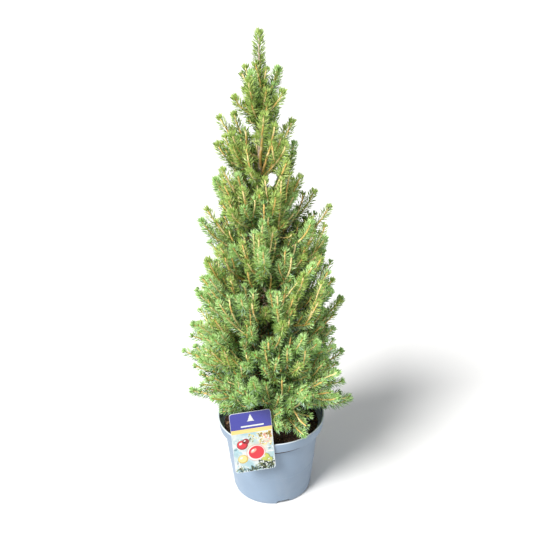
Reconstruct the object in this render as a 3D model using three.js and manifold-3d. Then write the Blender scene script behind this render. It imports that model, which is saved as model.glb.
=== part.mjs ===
// A dwarf conical spruce growing in a round plastic nursery pot, with a picture label hooked on the rim.
// Millimetres, +Z up. The origin is the centre of the pot's flat underside, and the front faces -Y.

import * as THREE from 'three';
import { mergeVertices } from 'three/addons/utils/BufferGeometryUtils.js';
import Module from 'manifold-3d';

// ---- Driving dimensions ----

const POT_HEIGHT = 146;
const RIM_RADIUS = 95;
const BASE_RADIUS = 72;
const SHOULDER_RADIUS = 84.5; // body radius just under the collar
const COLLAR_HEIGHT = 18; // the thicker band round the top
const COLLAR_FOOT_RADIUS = 92.5;
const WALL = 2;
const FLOOR = 2.5; // floor thickness in the middle
const FLOOR_EDGE = 8; // floor thickness in the ring that the drain notches cut
const FLOOR_RING_RADIUS = 54; // where the thicker ring begins
const POT_SIDES = 28;
const NOTCH_COUNT = 4;
const NOTCH_WIDTH = 28;
const NOTCH_HEIGHT = 5;
const NOTCH_DEPTH = 9;
const FIRST_NOTCH_DEG = -75; // one notch sits a little to the right of the front

const SOIL_DROP = 15; // soil level below the rim
const SOIL_HEAP = 2.2; // how far the soil's surface rises and falls
const GAP = 0.35; // clearance that touching pieces keep

const CARD_WIDTH = 68;
const CARD_HEIGHT = 116;
const CARD_THICKNESS = 0.9;
const CARD_CORNER = 5;
const CARD_TURN_DEG = 3.4; // the card leans sideways in its own plane
const CARD_SWING_DEG = 7.6; // and its right edge sits further back than its left
const CARD_CENTRE = new THREE.Vector3(-31.2, -101.5, 158.5);
const HOOK_WIDTH = 14;
const HOOK_X = -22;
const HOOK_THICKNESS = 1.4;
const HOOK_REACH = 19.5; // from the card's back to inside the rim

const TREE_TOP = 796; // tip of the trunk
const TRUNK_RADIUS = 7.6; // above the root flare
const FLARE_RADIUS = 14;
const FLARE_HEIGHT = 30;
const TRUNK_TIP_RADIUS = 1.1;
const TRUNK_LEAN = -9; // sideways bow at three quarters of the height
const TRUNK_TIP_LEAN = -5;
const TRUNK_RINGS = 16;

const LEADER_FOOT = 560; // where the leader's foliage begins
const LEADER_TOP = 801;
const LEADER_GIRTH = 20;

const BOUGH_RADIUS = 3.4; // at the trunk, on the longest bough
const BOUGH_SHARE = 0.24; // how much of the way to its tip a bough stays bare of foliage
const LOBE_SIDES = 5;
const LOBE_RINGS = 3;
const LOBES_PER_MASS = 3;
const TIP_BLUNT = 0.2; // share of a lobe's girth that its tip stands out past its path

// Each tier is a ring of foliage masses. foot: height where it leaves the trunk. tip: mean height of its
// outer tips. reach: mean distance of the tips from the trunk. shift: how much further it reaches to the
// right than the mean, and less to the left. girth: radius of one lobe. droop: how far the lower lobes
// sit under the upper ones. turn: direction of the first mass, in degrees from +X.
const TIERS = [
  { name: 'crest', count: 3, foot: 655, tip: 738, reach: 29, shift: 2, girth: 13, droop: 26, turn: 12 },
  { name: 'shoulder', count: 3, foot: 570, tip: 668, reach: 51, shift: -8, girth: 22, droop: 32, turn: 55 },
  { name: 'upper', count: 4, foot: 490, tip: 608, reach: 64, shift: -9, girth: 28, droop: 38, turn: 40 },
  { name: 'middle', count: 4, foot: 410, tip: 528, reach: 88, shift: 6, girth: 34, droop: 42, turn: 0 },
  { name: 'waist', count: 4, foot: 330, tip: 452, reach: 110, shift: 2, girth: 41, droop: 48, turn: 45 },
  { name: 'lower', count: 5, foot: 262, tip: 358, reach: 124, shift: -10, girth: 40, droop: 52, turn: 4 },
  { name: 'broad', count: 5, foot: 212, tip: 268, reach: 144, shift: -6, girth: 38, droop: 52, turn: 36 },
  { name: 'skirt', count: 5, foot: 186, tip: 176, reach: 125, shift: 10, girth: 28, droop: 20, turn: 0 },
];
const TIERS_WITH_BOUGHS = ['waist', 'lower', 'broad', 'skirt'];

// ---- Materials ----

const potPlastic = new THREE.MeshStandardMaterial({ color: 0x8e9fb8, roughness: 0.42, metalness: 0 });
const pottingSoil = new THREE.MeshStandardMaterial({ color: 0x2a1d16, roughness: 0.95, metalness: 0 });
const labelCard = new THREE.MeshStandardMaterial({ color: 0x5a5cb4, roughness: 0.3, metalness: 0 });
const bark = new THREE.MeshStandardMaterial({ color: 0x8d7564, roughness: 0.9, metalness: 0 });
const needles = new THREE.MeshStandardMaterial({ color: 0x4f7a35, roughness: 0.75, metalness: 0 });

// ---- Cutting and joining ----

const wasm = await Module();
wasm.setup();

function solidOf(geometry) {
  const bare = geometry.clone();
  bare.deleteAttribute('normal');
  bare.deleteAttribute('uv');
  const merged = mergeVertices(bare, 1e-3);
  const index = merged.index.array;
  const kept = [];
  for (let i = 0; i < index.length; i += 3) {
    const [a, b, c] = [index[i], index[i + 1], index[i + 2]];
    if (a !== b && b !== c && c !== a) kept.push(a, b, c);
  }
  const mesh = new wasm.Mesh({
    numProp: 3,
    vertProperties: new Float32Array(merged.attributes.position.array),
    triVerts: new Uint32Array(kept),
  });
  return new wasm.Manifold(mesh);
}

function geometryOf(solid) {
  const mesh = solid.getMesh();
  const geometry = new THREE.BufferGeometry();
  geometry.setAttribute('position', new THREE.Float32BufferAttribute(mesh.vertProperties, 3));
  geometry.setIndex(new THREE.Uint32BufferAttribute(mesh.triVerts, 1));
  geometry.computeVertexNormals();
  return geometry;
}

// A cut can leave crumbs behind: only the largest body is the piece.
function largestBody(solid) {
  const bodies = solid.decompose();
  bodies.sort((a, b) => b.volume() - a.volume());
  return bodies[0];
}

// ---- Shapes ----

// A lathe turned about +Z. The profile is a list of [radius, height].
function turned(profile, sides) {
  const points = profile.map(([radius, height]) => new THREE.Vector2(radius, height));
  return new THREE.LatheGeometry(points, sides).rotateX(Math.PI / 2);
}

// A turned profile bent along a path. radiusAt and uneven give the radius at a share of the length.
function bentLimb(path, { sides, rings, radiusAt, uneven = () => 1, margin = 0 }) {
  const profile = [[0, 0]];
  for (let i = 0; i <= rings; i += 1) profile.push([1, i / rings]);
  profile.push([0, 1]);
  const limb = turned(profile, sides);
  const start = path.getPoint(0);
  const along = path.getPoint(1).sub(start).normalize();
  const sideways = new THREE.Vector3(0, 0, 1).cross(along);
  if (sideways.length() < 0.05) sideways.set(1, 0, 0);
  sideways.normalize();
  const across = along.clone().cross(sideways);
  const position = limb.attributes.position;
  const vertex = new THREE.Vector3();
  for (let i = 0; i < position.count; i += 1) {
    vertex.fromBufferAttribute(position, i);
    const share = THREE.MathUtils.clamp(vertex.z, 0, 1);
    const angle = Math.atan2(vertex.y, vertex.x);
    const onAxis = Math.hypot(vertex.x, vertex.y) < 0.5;
    const radius = onAxis ? 0 : radiusAt(share) * uneven(angle, share) + margin;
    const endShift = onAxis ? (share < 0.5 ? -margin : margin) : 0;
    const centre = path.getPoint(share).addScaledVector(along, endShift);
    centre.addScaledVector(sideways, radius * Math.cos(angle));
    centre.addScaledVector(across, radius * Math.sin(angle));
    position.setXYZ(i, centre.x, centre.y, centre.z);
  }
  return limb;
}

const radians = THREE.MathUtils.degToRad;

// Repeatable small differences between one lobe and the next, from -1 to 1.
function sway(seed) {
  return Math.sin(seed * 12.9898 + 4.1) * Math.cos(seed * 4.721 + 0.7);
}

// ---- Pot, soil and label ----

function potSolid() {
  const shoulder = POT_HEIGHT - COLLAR_HEIGHT;
  const outer = [
    [0, 0],
    [BASE_RADIUS - 2, 0],
    [BASE_RADIUS, 2],
    [SHOULDER_RADIUS, shoulder - 1],
    [COLLAR_FOOT_RADIUS - 1, shoulder - 1],
    [COLLAR_FOOT_RADIUS, shoulder],
    [RIM_RADIUS, POT_HEIGHT - 2],
    [RIM_RADIUS - 0.6, POT_HEIGHT],
  ];
  const inner = [
    [RIM_RADIUS - WALL - 1, POT_HEIGHT],
    [COLLAR_FOOT_RADIUS - WALL - 0.5, shoulder + WALL],
    [SHOULDER_RADIUS - WALL, shoulder + WALL - 1],
    [BASE_RADIUS - WALL, FLOOR_EDGE],
    [FLOOR_RING_RADIUS, FLOOR_EDGE],
    [FLOOR_RING_RADIUS - 4, FLOOR],
    [0, FLOOR],
  ];
  let pot = solidOf(turned([...outer, ...inner], POT_SIDES));
  const tall = NOTCH_HEIGHT + 2;
  for (let i = 0; i < NOTCH_COUNT; i += 1) {
    const notch = new THREE.BoxGeometry(2 * NOTCH_DEPTH, NOTCH_WIDTH, tall);
    notch.translate(BASE_RADIUS, 0, NOTCH_HEIGHT - tall / 2);
    notch.rotateZ(radians(FIRST_NOTCH_DEG + (i * 360) / NOTCH_COUNT));
    pot = pot.subtract(solidOf(notch));
  }
  return pot;
}

// The space that the pot and its soil fill, grown by a margin: foliage over the rim is cut by it.
function potEnvelope(margin) {
  const collarFoot = POT_HEIGHT - COLLAR_HEIGHT - margin;
  return solidOf(turned([
    [0, 0],
    [BASE_RADIUS + margin, 0],
    [SHOULDER_RADIUS + margin, collarFoot],
    [COLLAR_FOOT_RADIUS + 2 * margin, collarFoot],
    [RIM_RADIUS + 2 * margin, POT_HEIGHT + margin],
    [0, POT_HEIGHT + margin],
  ], POT_SIDES));
}

const soilLevel = POT_HEIGHT - SOIL_DROP;

function soilGeometry() {
  const shoulder = POT_HEIGHT - COLLAR_HEIGHT;
  const wallRadius = (height) => {
    const share = (height - FLOOR_EDGE) / (shoulder + WALL - 1 - FLOOR_EDGE);
    return BASE_RADIUS - WALL + share * (SHOULDER_RADIUS - BASE_RADIUS) - 2 * GAP;
  };
  const profile = [
    [0, FLOOR + GAP],
    [FLOOR_RING_RADIUS - 5, FLOOR + GAP],
    [FLOOR_RING_RADIUS - 1, FLOOR_EDGE + GAP],
    [wallRadius(FLOOR_EDGE + GAP), FLOOR_EDGE + GAP],
    [wallRadius(shoulder - 1), shoulder - 1],
    [wallRadius(shoulder - 1), soilLevel - 2],
    [SHOULDER_RADIUS - 10, soilLevel],
    [SHOULDER_RADIUS - 30, soilLevel],
    [FLARE_RADIUS + 12, soilLevel],
    [0, soilLevel],
  ];
  const soil = turned(profile, 16);
  const position = soil.attributes.position;
  for (let i = 0; i < position.count; i += 1) {
    const radius = Math.hypot(position.getX(i), position.getY(i));
    const isSurface = position.getZ(i) > soilLevel - 3;
    const isAwayFromTrunk = radius > FLARE_RADIUS + 14;
    if (isSurface && isAwayFromTrunk) {
      const angle = Math.atan2(position.getY(i), position.getX(i));
      const heave = Math.sin(3 * angle + radius / 9) + 0.6 * Math.sin(7 * angle - radius / 5);
      position.setZ(i, position.getZ(i) + (SOIL_HEAP / 2) * heave);
    }
  }
  return soil;
}

function roundedCard(width, height, corner) {
  const [x, y] = [width / 2, height / 2];
  const shape = new THREE.Shape();
  shape.moveTo(-x + corner, -y);
  shape.lineTo(x - corner, -y);
  shape.absarc(x - corner, -y + corner, corner, -Math.PI / 2, 0);
  shape.lineTo(x, y - corner);
  shape.absarc(x - corner, y - corner, corner, 0, Math.PI / 2);
  shape.lineTo(-x + corner, y);
  shape.absarc(-x + corner, y - corner, corner, Math.PI / 2, Math.PI);
  shape.lineTo(-x, -y + corner);
  shape.absarc(-x + corner, -y + corner, corner, Math.PI, 1.5 * Math.PI);
  return shape;
}

// Turns the card and its hook about the card's upright middle line.
function swung(geometry) {
  geometry.translate(-CARD_CENTRE.x, -CARD_CENTRE.y, 0);
  geometry.rotateZ(radians(CARD_SWING_DEG));
  return geometry.translate(CARD_CENTRE.x, CARD_CENTRE.y, 0);
}

// The card stands upright, with its back to +Y. reach is how far it is drawn out to the front.
function cardGeometry(border, reach, back) {
  const outline = roundedCard(CARD_WIDTH + 2 * border, CARD_HEIGHT + 2 * border, CARD_CORNER);
  const options = { depth: reach, bevelEnabled: false, curveSegments: 3 };
  const card = new THREE.ExtrudeGeometry(outline, options);
  card.rotateX(Math.PI / 2);
  card.rotateY(-radians(CARD_TURN_DEG));
  card.translate(CARD_CENTRE.x, CARD_CENTRE.y + CARD_THICKNESS + back, CARD_CENTRE.z);
  return swung(card);
}

// A flat strip that runs from the card's back over the rim and down to the soil.
function hookGeometry() {
  const back = CARD_CENTRE.y + CARD_THICKNESS / 2;
  const top = POT_HEIGHT + 3;
  const inside = back + HOOK_REACH;
  const shape = new THREE.Shape();
  shape.moveTo(back, top - HOOK_THICKNESS);
  shape.lineTo(inside - HOOK_THICKNESS, top - HOOK_THICKNESS);
  shape.lineTo(inside - HOOK_THICKNESS, soilLevel + SOIL_HEAP);
  shape.lineTo(inside, soilLevel + SOIL_HEAP);
  shape.lineTo(inside, top);
  shape.lineTo(back, top);
  const strip = new THREE.ExtrudeGeometry(shape, { depth: HOOK_WIDTH, bevelEnabled: false });
  // the shape's x is +Y here, its y is +Z, and it is drawn out along +X
  strip.rotateX(Math.PI / 2);
  strip.rotateZ(Math.PI / 2);
  strip.translate(HOOK_X - HOOK_WIDTH / 2, 0, 0);
  return swung(strip);
}

// ---- Trunk ----

const trunkFoot = soilLevel + GAP;
const trunkPath = new THREE.CatmullRomCurve3([
  new THREE.Vector3(0, 0, trunkFoot),
  new THREE.Vector3(TRUNK_LEAN * 0.25, 1.5, trunkFoot + (TREE_TOP - trunkFoot) * 0.25),
  new THREE.Vector3(TRUNK_LEAN * 0.7, -1, trunkFoot + (TREE_TOP - trunkFoot) * 0.5),
  new THREE.Vector3(TRUNK_LEAN, 1, trunkFoot + (TREE_TOP - trunkFoot) * 0.75),
  new THREE.Vector3(TRUNK_TIP_LEAN, 0, TREE_TOP),
]);

function trunkRadius(share) {
  const taper = TRUNK_RADIUS + (TRUNK_TIP_RADIUS - TRUNK_RADIUS) * share;
  const rise = share * (TREE_TOP - trunkFoot);
  const flare = Math.max(0, 1 - rise / FLARE_HEIGHT);
  return taper + (FLARE_RADIUS - TRUNK_RADIUS) * flare * flare;
}

// The foot is a flat cut, and the flare swells where the main roots leave.
function trunkGeometry(margin) {
  const trunk = bentLimb(trunkPath, {
    sides: 7,
    rings: TRUNK_RINGS,
    radiusAt: trunkRadius,
    uneven: (angle, share) => 1 + 0.12 * Math.max(0, 1 - share * 14) * Math.sin(4 * angle + 1),
    margin,
  });
  const position = trunk.attributes.position;
  const firstRise = (TREE_TOP - trunkFoot) / TRUNK_RINGS / 2;
  for (let i = 0; i < position.count; i += 1) {
    if (position.getZ(i) < trunkFoot + firstRise) position.setZ(i, trunkFoot - margin);
  }
  return trunk;
}

function trunkPoint(height) {
  return trunkPath.getPoint((height - trunkFoot) / (TREE_TOP - trunkFoot));
}

// ---- Boughs and foliage masses ----

// A limb leaves low and outwards, then turns up towards its tip.
function risingPath(foot, tip) {
  const bend = foot.clone().lerp(tip, 0.62);
  bend.z = THREE.MathUtils.lerp(foot.z, tip.z, 0.22);
  return new THREE.QuadraticBezierCurve3(foot, bend, tip);
}

// The shape of one lobe: blunt at its foot, fullest at the middle, narrow at its tip.
function lobeSolid(foot, tip, girth, seed, margin) {
  const radiusAt = (share) => girth * (0.62 + 1.7 * share - 2.05 * share * share);
  const uneven = (angle, share) => {
    const broad = Math.sin(2 * angle + 1.7 * seed + 4 * share);
    const fine = Math.sin(3 * angle - 2.3 * seed + 9 * share);
    return 1 + 0.13 * broad + 0.1 * fine;
  };
  const shape = { sides: LOBE_SIDES, rings: LOBE_RINGS, radiusAt, uneven, margin };
  return solidOf(bentLimb(risingPath(foot, tip), shape));
}

// One mass: a middle lobe that reaches highest and furthest, and a shorter one on each side of it.
function massLobes(tier, order) {
  const step = 360 / tier.count;
  const firstSeed = tier.foot * 0.37 + order * 1.9;
  const lobes = [];
  for (let k = 0; k < LOBES_PER_MASS; k += 1) {
    const seed = firstSeed + k * 0.61;
    const side = k === 0 ? 0 : 2 * k - 3;
    const isMiddle = side === 0;
    const bearing = radians(tier.turn + order * step + (side * step) / LOBES_PER_MASS + 4 * sway(seed));
    const stretch = (isMiddle ? 1.04 : 0.95) * (1 + 0.05 * sway(seed + 3));
    const reach = (tier.reach + tier.shift * Math.cos(bearing)) * stretch - TIP_BLUNT * tier.girth;
    const drop = isMiddle ? -tier.droop * 0.25 : tier.droop * (side < 0 ? 0.4 : 0.8);
    const tip = trunkPoint(tier.foot);
    tip.x += reach * Math.cos(bearing);
    tip.y += reach * Math.sin(bearing);
    tip.z = tier.tip - drop + 7 * sway(seed + 5);
    lobes.push({ tip, seed, girth: tier.girth * (isMiddle ? 1.05 : 0.95) });
  }
  return lobes;
}

// A mass with a bough begins where the bough ends, and one without begins at the trunk.
function massFoot(tier, lobes) {
  const onTrunk = trunkPoint(tier.foot);
  if (!TIERS_WITH_BOUGHS.includes(tier.name)) return onTrunk;
  return risingPath(onTrunk, lobes[0].tip).getPoint(BOUGH_SHARE);
}

// The slice of the crown that a mass keeps to, so that masses of one tier meet on flat faces.
function sliceSolid(tier, order) {
  const half = 180 / tier.count;
  const bearing = tier.turn + (order * 360) / tier.count;
  const corners = [-half, -half / 2, 0, half / 2, half].map((turn) => {
    const angle = radians(bearing + turn);
    return new THREE.Vector2(Math.cos(angle), Math.sin(angle)).multiplyScalar(2 * tier.reach);
  });
  const shape = new THREE.Shape([new THREE.Vector2(0, 0), ...corners]);
  const slice = new THREE.ExtrudeGeometry(shape, { depth: POT_HEIGHT + LEADER_TOP, bevelEnabled: false });
  const axis = trunkPoint(tier.foot);
  const inset = (MASS_GAP / 2) / Math.sin(radians(half));
  axis.x += inset * Math.cos(radians(bearing));
  axis.y += inset * Math.sin(radians(bearing));
  return solidOf(slice.translate(axis.x, axis.y, 0));
}

function massSolid(tier, order, margin) {
  const lobes = massLobes(tier, order);
  const foot = massFoot(tier, lobes);
  const solids = lobes.map((lobe) => lobeSolid(foot, lobe.tip, lobe.girth, lobe.seed, margin));
  return solids.reduce((left, right) => left.add(right));
}

function boughSolid(tier, order, margin) {
  const foot = trunkPoint(tier.foot);
  const tip = massFoot(tier, massLobes(tier, order));
  const thickness = BOUGH_RADIUS * Math.sqrt(tier.reach / 139);
  const radiusAt = (share) => thickness * (1 - 0.4 * share);
  return solidOf(bentLimb(new THREE.LineCurve3(foot, tip), { sides: 5, rings: 2, radiusAt, margin }));
}

function leaderSolid(margin) {
  const foot = trunkPoint(LEADER_FOOT);
  const tip = new THREE.Vector3(TRUNK_TIP_LEAN, 0, LEADER_TOP);
  const radiusAt = (share) => LEADER_GIRTH * (0.34 + 0.66 * Math.sqrt(1 - share));
  const uneven = (angle, share) => {
    return 1 + 0.14 * Math.sin(2 * angle + 11 * share) + 0.08 * Math.sin(3 * angle - 19 * share);
  };
  const shape = { sides: 7, rings: 7, radiusAt, uneven, margin };
  return solidOf(bentLimb(new THREE.LineCurve3(foot, tip), shape));
}

// ---- Assembly ----

const spruce = new THREE.Group();
spruce.name = 'potted_spruce';

function place(name, geometry, material) {
  const mesh = new THREE.Mesh(geometry, material);
  mesh.name = name;
  spruce.add(mesh);
}

const SIMPLIFY = 1.2; // slivers thinner than this are closed up after a cut
const FOLIAGE_GAP = GAP + SIMPLIFY; // foliage to wood, pot and card
const MASS_GAP = GAP + 2 * SIMPLIFY; // one mass to another

function buildPot() {
  place('pot', geometryOf(potSolid()), potPlastic);
  place('soil', geometryOf(solidOf(soilGeometry())), pottingSoil);
}

function buildLabel() {
  const card = solidOf(cardGeometry(0, CARD_THICKNESS, 0));
  place('label', geometryOf(card.add(solidOf(hookGeometry()))), labelCard);
}

// Foliage is cut by everything already placed, each grown by the gap.
function buildTree() {
  const trunk = solidOf(trunkGeometry(0));
  place('trunk', geometryOf(trunk), bark);
  const grownTrunk = solidOf(trunkGeometry(GAP));
  const cardSpace = solidOf(cardGeometry(2, 70, 3));
  const taken = [potEnvelope(FOLIAGE_GAP), solidOf(trunkGeometry(FOLIAGE_GAP)), cardSpace];
  const wood = [grownTrunk];

  for (const tier of TIERS.filter((one) => TIERS_WITH_BOUGHS.includes(one.name))) {
    for (let order = 0; order < tier.count; order += 1) {
      const bough = largestBody(boughSolid(tier, order, 0).subtract(grownTrunk));
      place(`bough_${tier.name}_${order + 1}`, geometryOf(bough), bark);
      taken.push(boughSolid(tier, order, FOLIAGE_GAP));
      wood.push(boughSolid(tier, order, GAP));
    }
  }

  const cutAndPlace = (name, whole) => {
    const cut = taken.reduce((left, right) => left.subtract(right), whole);
    const smooth = largestBody(cut).asOriginal().simplify(SIMPLIFY);
    const clear = wood.reduce((left, right) => left.subtract(right), smooth);
    place(name, geometryOf(largestBody(clear)), needles);
  };
  cutAndPlace('foliage_leader', leaderSolid(0));
  taken.push(leaderSolid(MASS_GAP));
  for (const tier of TIERS) {
    const grown = [];
    for (let order = 0; order < tier.count; order += 1) {
      const name = `foliage_${tier.name}_${order + 1}`;
      const slice = sliceSolid(tier, order);
      cutAndPlace(name, massSolid(tier, order, 0).intersect(slice));
      grown.push(massSolid(tier, order, MASS_GAP));
    }
    taken.push(...grown);
  }
}

buildPot();
buildLabel();
buildTree();

export default spruce;
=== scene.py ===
"""Looks of a dwarf conical spruce in its nursery pot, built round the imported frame.

Run as a script. Each sidebar button makes one piece or one group of like pieces.
Everything is in metres, +Z up, with the origin under the middle of the pot.
"""

import math

import bpy
import numpy as np
from bpy.props import FloatProperty, FloatVectorProperty, IntProperty, PointerProperty
from mathutils import Matrix, Vector
from mathutils.bvhtree import BVHTree


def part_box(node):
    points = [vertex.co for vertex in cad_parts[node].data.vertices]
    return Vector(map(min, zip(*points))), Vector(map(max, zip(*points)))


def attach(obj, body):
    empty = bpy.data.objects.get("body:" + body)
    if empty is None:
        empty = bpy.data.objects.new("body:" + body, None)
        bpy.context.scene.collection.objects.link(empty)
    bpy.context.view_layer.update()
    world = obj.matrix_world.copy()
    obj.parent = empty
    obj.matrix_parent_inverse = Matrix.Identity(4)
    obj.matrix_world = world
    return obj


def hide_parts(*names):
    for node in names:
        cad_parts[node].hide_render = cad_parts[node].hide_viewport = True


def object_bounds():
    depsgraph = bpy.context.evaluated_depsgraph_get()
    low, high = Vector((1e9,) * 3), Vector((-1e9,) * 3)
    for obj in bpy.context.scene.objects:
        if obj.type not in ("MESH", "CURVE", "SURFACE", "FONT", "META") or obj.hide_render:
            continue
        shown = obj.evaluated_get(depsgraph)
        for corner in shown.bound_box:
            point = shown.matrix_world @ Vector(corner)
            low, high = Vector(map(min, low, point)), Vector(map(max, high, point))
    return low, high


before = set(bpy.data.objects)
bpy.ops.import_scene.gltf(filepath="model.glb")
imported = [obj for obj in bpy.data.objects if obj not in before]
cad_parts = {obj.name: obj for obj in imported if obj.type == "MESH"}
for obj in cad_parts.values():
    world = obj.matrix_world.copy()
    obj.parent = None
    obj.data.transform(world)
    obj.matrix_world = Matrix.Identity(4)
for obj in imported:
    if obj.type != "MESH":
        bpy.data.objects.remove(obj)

bl_info = {
    "name": "Potted Spruce",
    "version": (1, 0, 0),
    "blender": (4, 5, 0),
    "location": "3D View > Sidebar > Spruce",
    "description": "Makes a dwarf conical spruce in a nursery pot, with its soil and label",
    "category": "Add Mesh",
}

CAD_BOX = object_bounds()
MM = 0.001
UP = np.array([0.0, 0.0, 1.0])
GOLDEN_ANGLE = math.radians(137.508)
MAX_TRIANGLES = 190_000  # in one joined piece

# ---- Places that come from the frame ----


def corners(node):
    """A node's lowest and highest corners as arrays."""
    low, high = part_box(node)
    return np.array(low), np.array(high)


def node_shape(node):
    """A node's welded corner points and its triangles."""
    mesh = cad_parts[node].data
    mesh.calc_loop_triangles()
    points = np.array([v.co[:] for v in mesh.vertices])
    faces = np.array([t.vertices[:] for t in mesh.loop_triangles])
    welded, index = np.unique(np.round(points, 6), axis=0, return_inverse=True)
    return welded, index.reshape(-1)[faces]


def nodes_named(start):
    return sorted(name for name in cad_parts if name.startswith(start))


POT_HIGH = corners("pot")[1]
TRUNK_LOW, TRUNK_HIGH = corners("trunk")
LABEL_LOW, LABEL_HIGH = corners("label")
RIM_RADIUS = POT_HIGH[0]
RIM_HEIGHT = POT_HIGH[2]
SOIL_LEVEL = TRUNK_LOW[2]
CROWN_LOW = RIM_HEIGHT
CROWN_HIGH = CAD_BOX[1][2]

MASSES = nodes_named("foliage_")
BOUGHS = nodes_named("bough_")
TIER_GROUPS = {
    "top": ("leader", "crest", "shoulder", "upper"),
    "middle": ("middle",),
    "waist": ("waist",),
    "lower": ("lower",),
    "broad": ("broad",),
    "skirt": ("skirt",),
}

# Lowest height of each tier, from the top down
TIER_FEET = (("upper", 0.52), ("middle", 0.45), ("waist", 0.38), ("lower", 0.31), ("broad", 0.24))

CREST_TOP = 0.747  # only the leader grows higher

# How much finer the shoots are in the upper tiers than lower down
FINENESS = {"leader": 0.78, "crest": 0.78, "shoulder": 0.82, "upper": 0.88, "middle": 0.96}


def tier_of(node):
    return node.split("_")[1]


# ---- Settings a user would change ----


def length(name, description, default):
    return FloatProperty(
        name=name, description=description, default=default, unit="LENGTH", subtype="DISTANCE"
    )


def angle_value(name, description, degrees):
    return FloatProperty(name=name, description=description, default=math.radians(degrees), subtype="ANGLE")


def plain_number(name, description, default):
    return FloatProperty(name=name, description=description, default=default)


def whole_number(name, description, default):
    return IntProperty(name=name, description=description, default=default)


def colour(name, description, default):
    return FloatVectorProperty(
        name=name, description=description, default=default, size=3, subtype="COLOR", min=0.0, max=1.0
    )


class ShootSettings(bpy.types.PropertyGroup):
    """How the shoots branch and how their needles sit."""

    seed: whole_number("Seed", "Changes every twig and needle", 7)
    tip_spacing: length("Tip spacing", "Distance between neighbouring shoot tips on the crown", 0.0238)
    fill_spacing: length("Fill spacing", "Distance between the short shoots inside the crown", 0.0205)
    run: length("Shoot length", "Usual length of a shoot from fork to tip", 0.075)
    leafy: length("Leafy length", "Length of a shoot that keeps all its needles", 0.070)
    needle: length("Needle length", "Length of a full-grown needle", 0.0115)
    needle_width: length("Needle width", "Thickness of a needle at its widest", 0.0020)
    density: plain_number("Needles per cm", "Most needles on a centimetre of a usual shoot", 20.0)
    budget: whole_number("Needle budget", "Needles that the whole plant is planned to have", 108_000)


class TwigSettings(bpy.types.PropertyGroup):
    """Stems of the shoots."""

    tip_radius: length("Tip radius", "Radius of a stem behind its bud", 0.0013)
    thickening: plain_number("Thickening", "Radius gained per length of stem", 0.0085)
    young: colour("Young stem", "Stem of this year's growth", (0.80, 0.52, 0.17))
    # The pale stem colour is a painted sunlit copy of the young stem colour.
    pale: colour("Pale stem", "Sunlit young stem", (0.93, 0.73, 0.35))
    old: colour("Old stem", "Stem of earlier years", (0.24, 0.135, 0.065))
    bud: colour("Bud", "Resting bud at a shoot's tip", (0.40, 0.17, 0.05))


class BarkSettings(bpy.types.PropertyGroup):
    """Trunk and boughs."""

    relief: length("Relief", "Depth of the bark's scales on the trunk", 0.0007)
    ring_step: length("Ring step", "Distance between the mesh's rings", 0.0017)
    light: colour("Light bark", "Dry outer scales", (0.76, 0.60, 0.47))
    dark: colour("Dark bark", "Cracks between scales", (0.38, 0.26, 0.19))
    young: colour("Young bark", "Pale bark high up the trunk", (0.93, 0.76, 0.64))


class SoilSettings(bpy.types.PropertyGroup):
    """Potting compost."""

    heave: length("Heave", "Rise and fall of the surface", 0.0016)
    crumbs: whole_number("Crumbs", "Loose crumbs and bark chips", 2600)
    dark: colour("Dark compost", "Moist peat", (0.036, 0.027, 0.022))
    brown: colour("Brown compost", "Bark fines", (0.125, 0.072, 0.046))


class PotSettings(bpy.types.PropertyGroup):
    """Moulded nursery pot."""

    wall: length("Wall", "Thickness of the wall", 0.002)
    collar: length("Collar", "Height of the band round the top", 0.018)
    foot_round: length("Foot rounding", "Radius of the lower edge", 0.0030)
    foot_height: length("Notch height", "Height of the drain notches", 0.0065)
    plastic: colour("Plastic", "Blue-grey plastic", (0.236, 0.315, 0.420))
    painted_lip_highlight: colour("Lip", "Bright worn edge of the rim", (0.62, 0.68, 0.74))
    # The lip colour is a painted highlight: a bright line along the top of the rim.
    dust: colour("Dust", "Dried soil and chalk marks", (0.50, 0.50, 0.49))


class LabelSettings(bpy.types.PropertyGroup):
    """Picture label on the rim."""

    width: length("Width", "Card width", 0.068)
    height: length("Height", "Card height", 0.116)
    thickness: length("Thickness", "Card thickness", 0.0009)
    corner: length("Corner", "Radius of the corners", 0.005)
    turn: angle_value("Turn", "Sideways lean", 3.4)
    swing: angle_value("Swing", "Turn to one side", 7.6)
    tip_back: angle_value("Tip back", "Tilt", -1.4)
    header: colour("Header", "Violet-blue header", (0.048, 0.050, 0.31))
    strip: colour("Strip", "Pale yellow strip", (0.78, 0.56, 0.20))


class StageSettings(bpy.types.PropertyGroup):
    """Floor, light and camera."""

    distance: length("Distance", "Camera's distance in front of the plant", 1.056)
    aside: length("Aside", "Camera's place to the right of the plant", -0.0021)
    height: length("Height", "Camera's height above the floor", 0.867)
    pitch: angle_value("Pitch", "Downward tilt", 22.56)
    roll: angle_value("Roll", "Sideways tilt", -1.31)
    lens: plain_number("Lens", "Focal length in millimetres on a 36 mm frame", 47.28)
    floor: colour("Floor", "Pale floor", (0.88, 0.88, 0.88))
    sky: plain_number("Sky", "Strength of the even light from all round", 0.43)
    sun: plain_number("Window", "Strength of the light from the left front", 4.85)
    softness: angle_value("Softness", "Spread of that light", 26)
    sun_bearing: angle_value("Bearing", "Way that light travels, from +X", 45)
    sun_height: angle_value("Light height", "How high that light stands", 44)


SETTINGS = {
    "spruce_shoots": ShootSettings,
    "spruce_twigs": TwigSettings,
    "spruce_bark": BarkSettings,
    "spruce_soil": SoilSettings,
    "spruce_pot": PotSettings,
    "spruce_label": LabelSettings,
    "spruce_stage": StageSettings,
}


# ---- Small geometry helpers ----


def unit(vectors):
    """Vectors scaled to length one."""
    size = np.linalg.norm(vectors, axis=-1, keepdims=True)
    return vectors / np.maximum(size, 1e-9)


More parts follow.
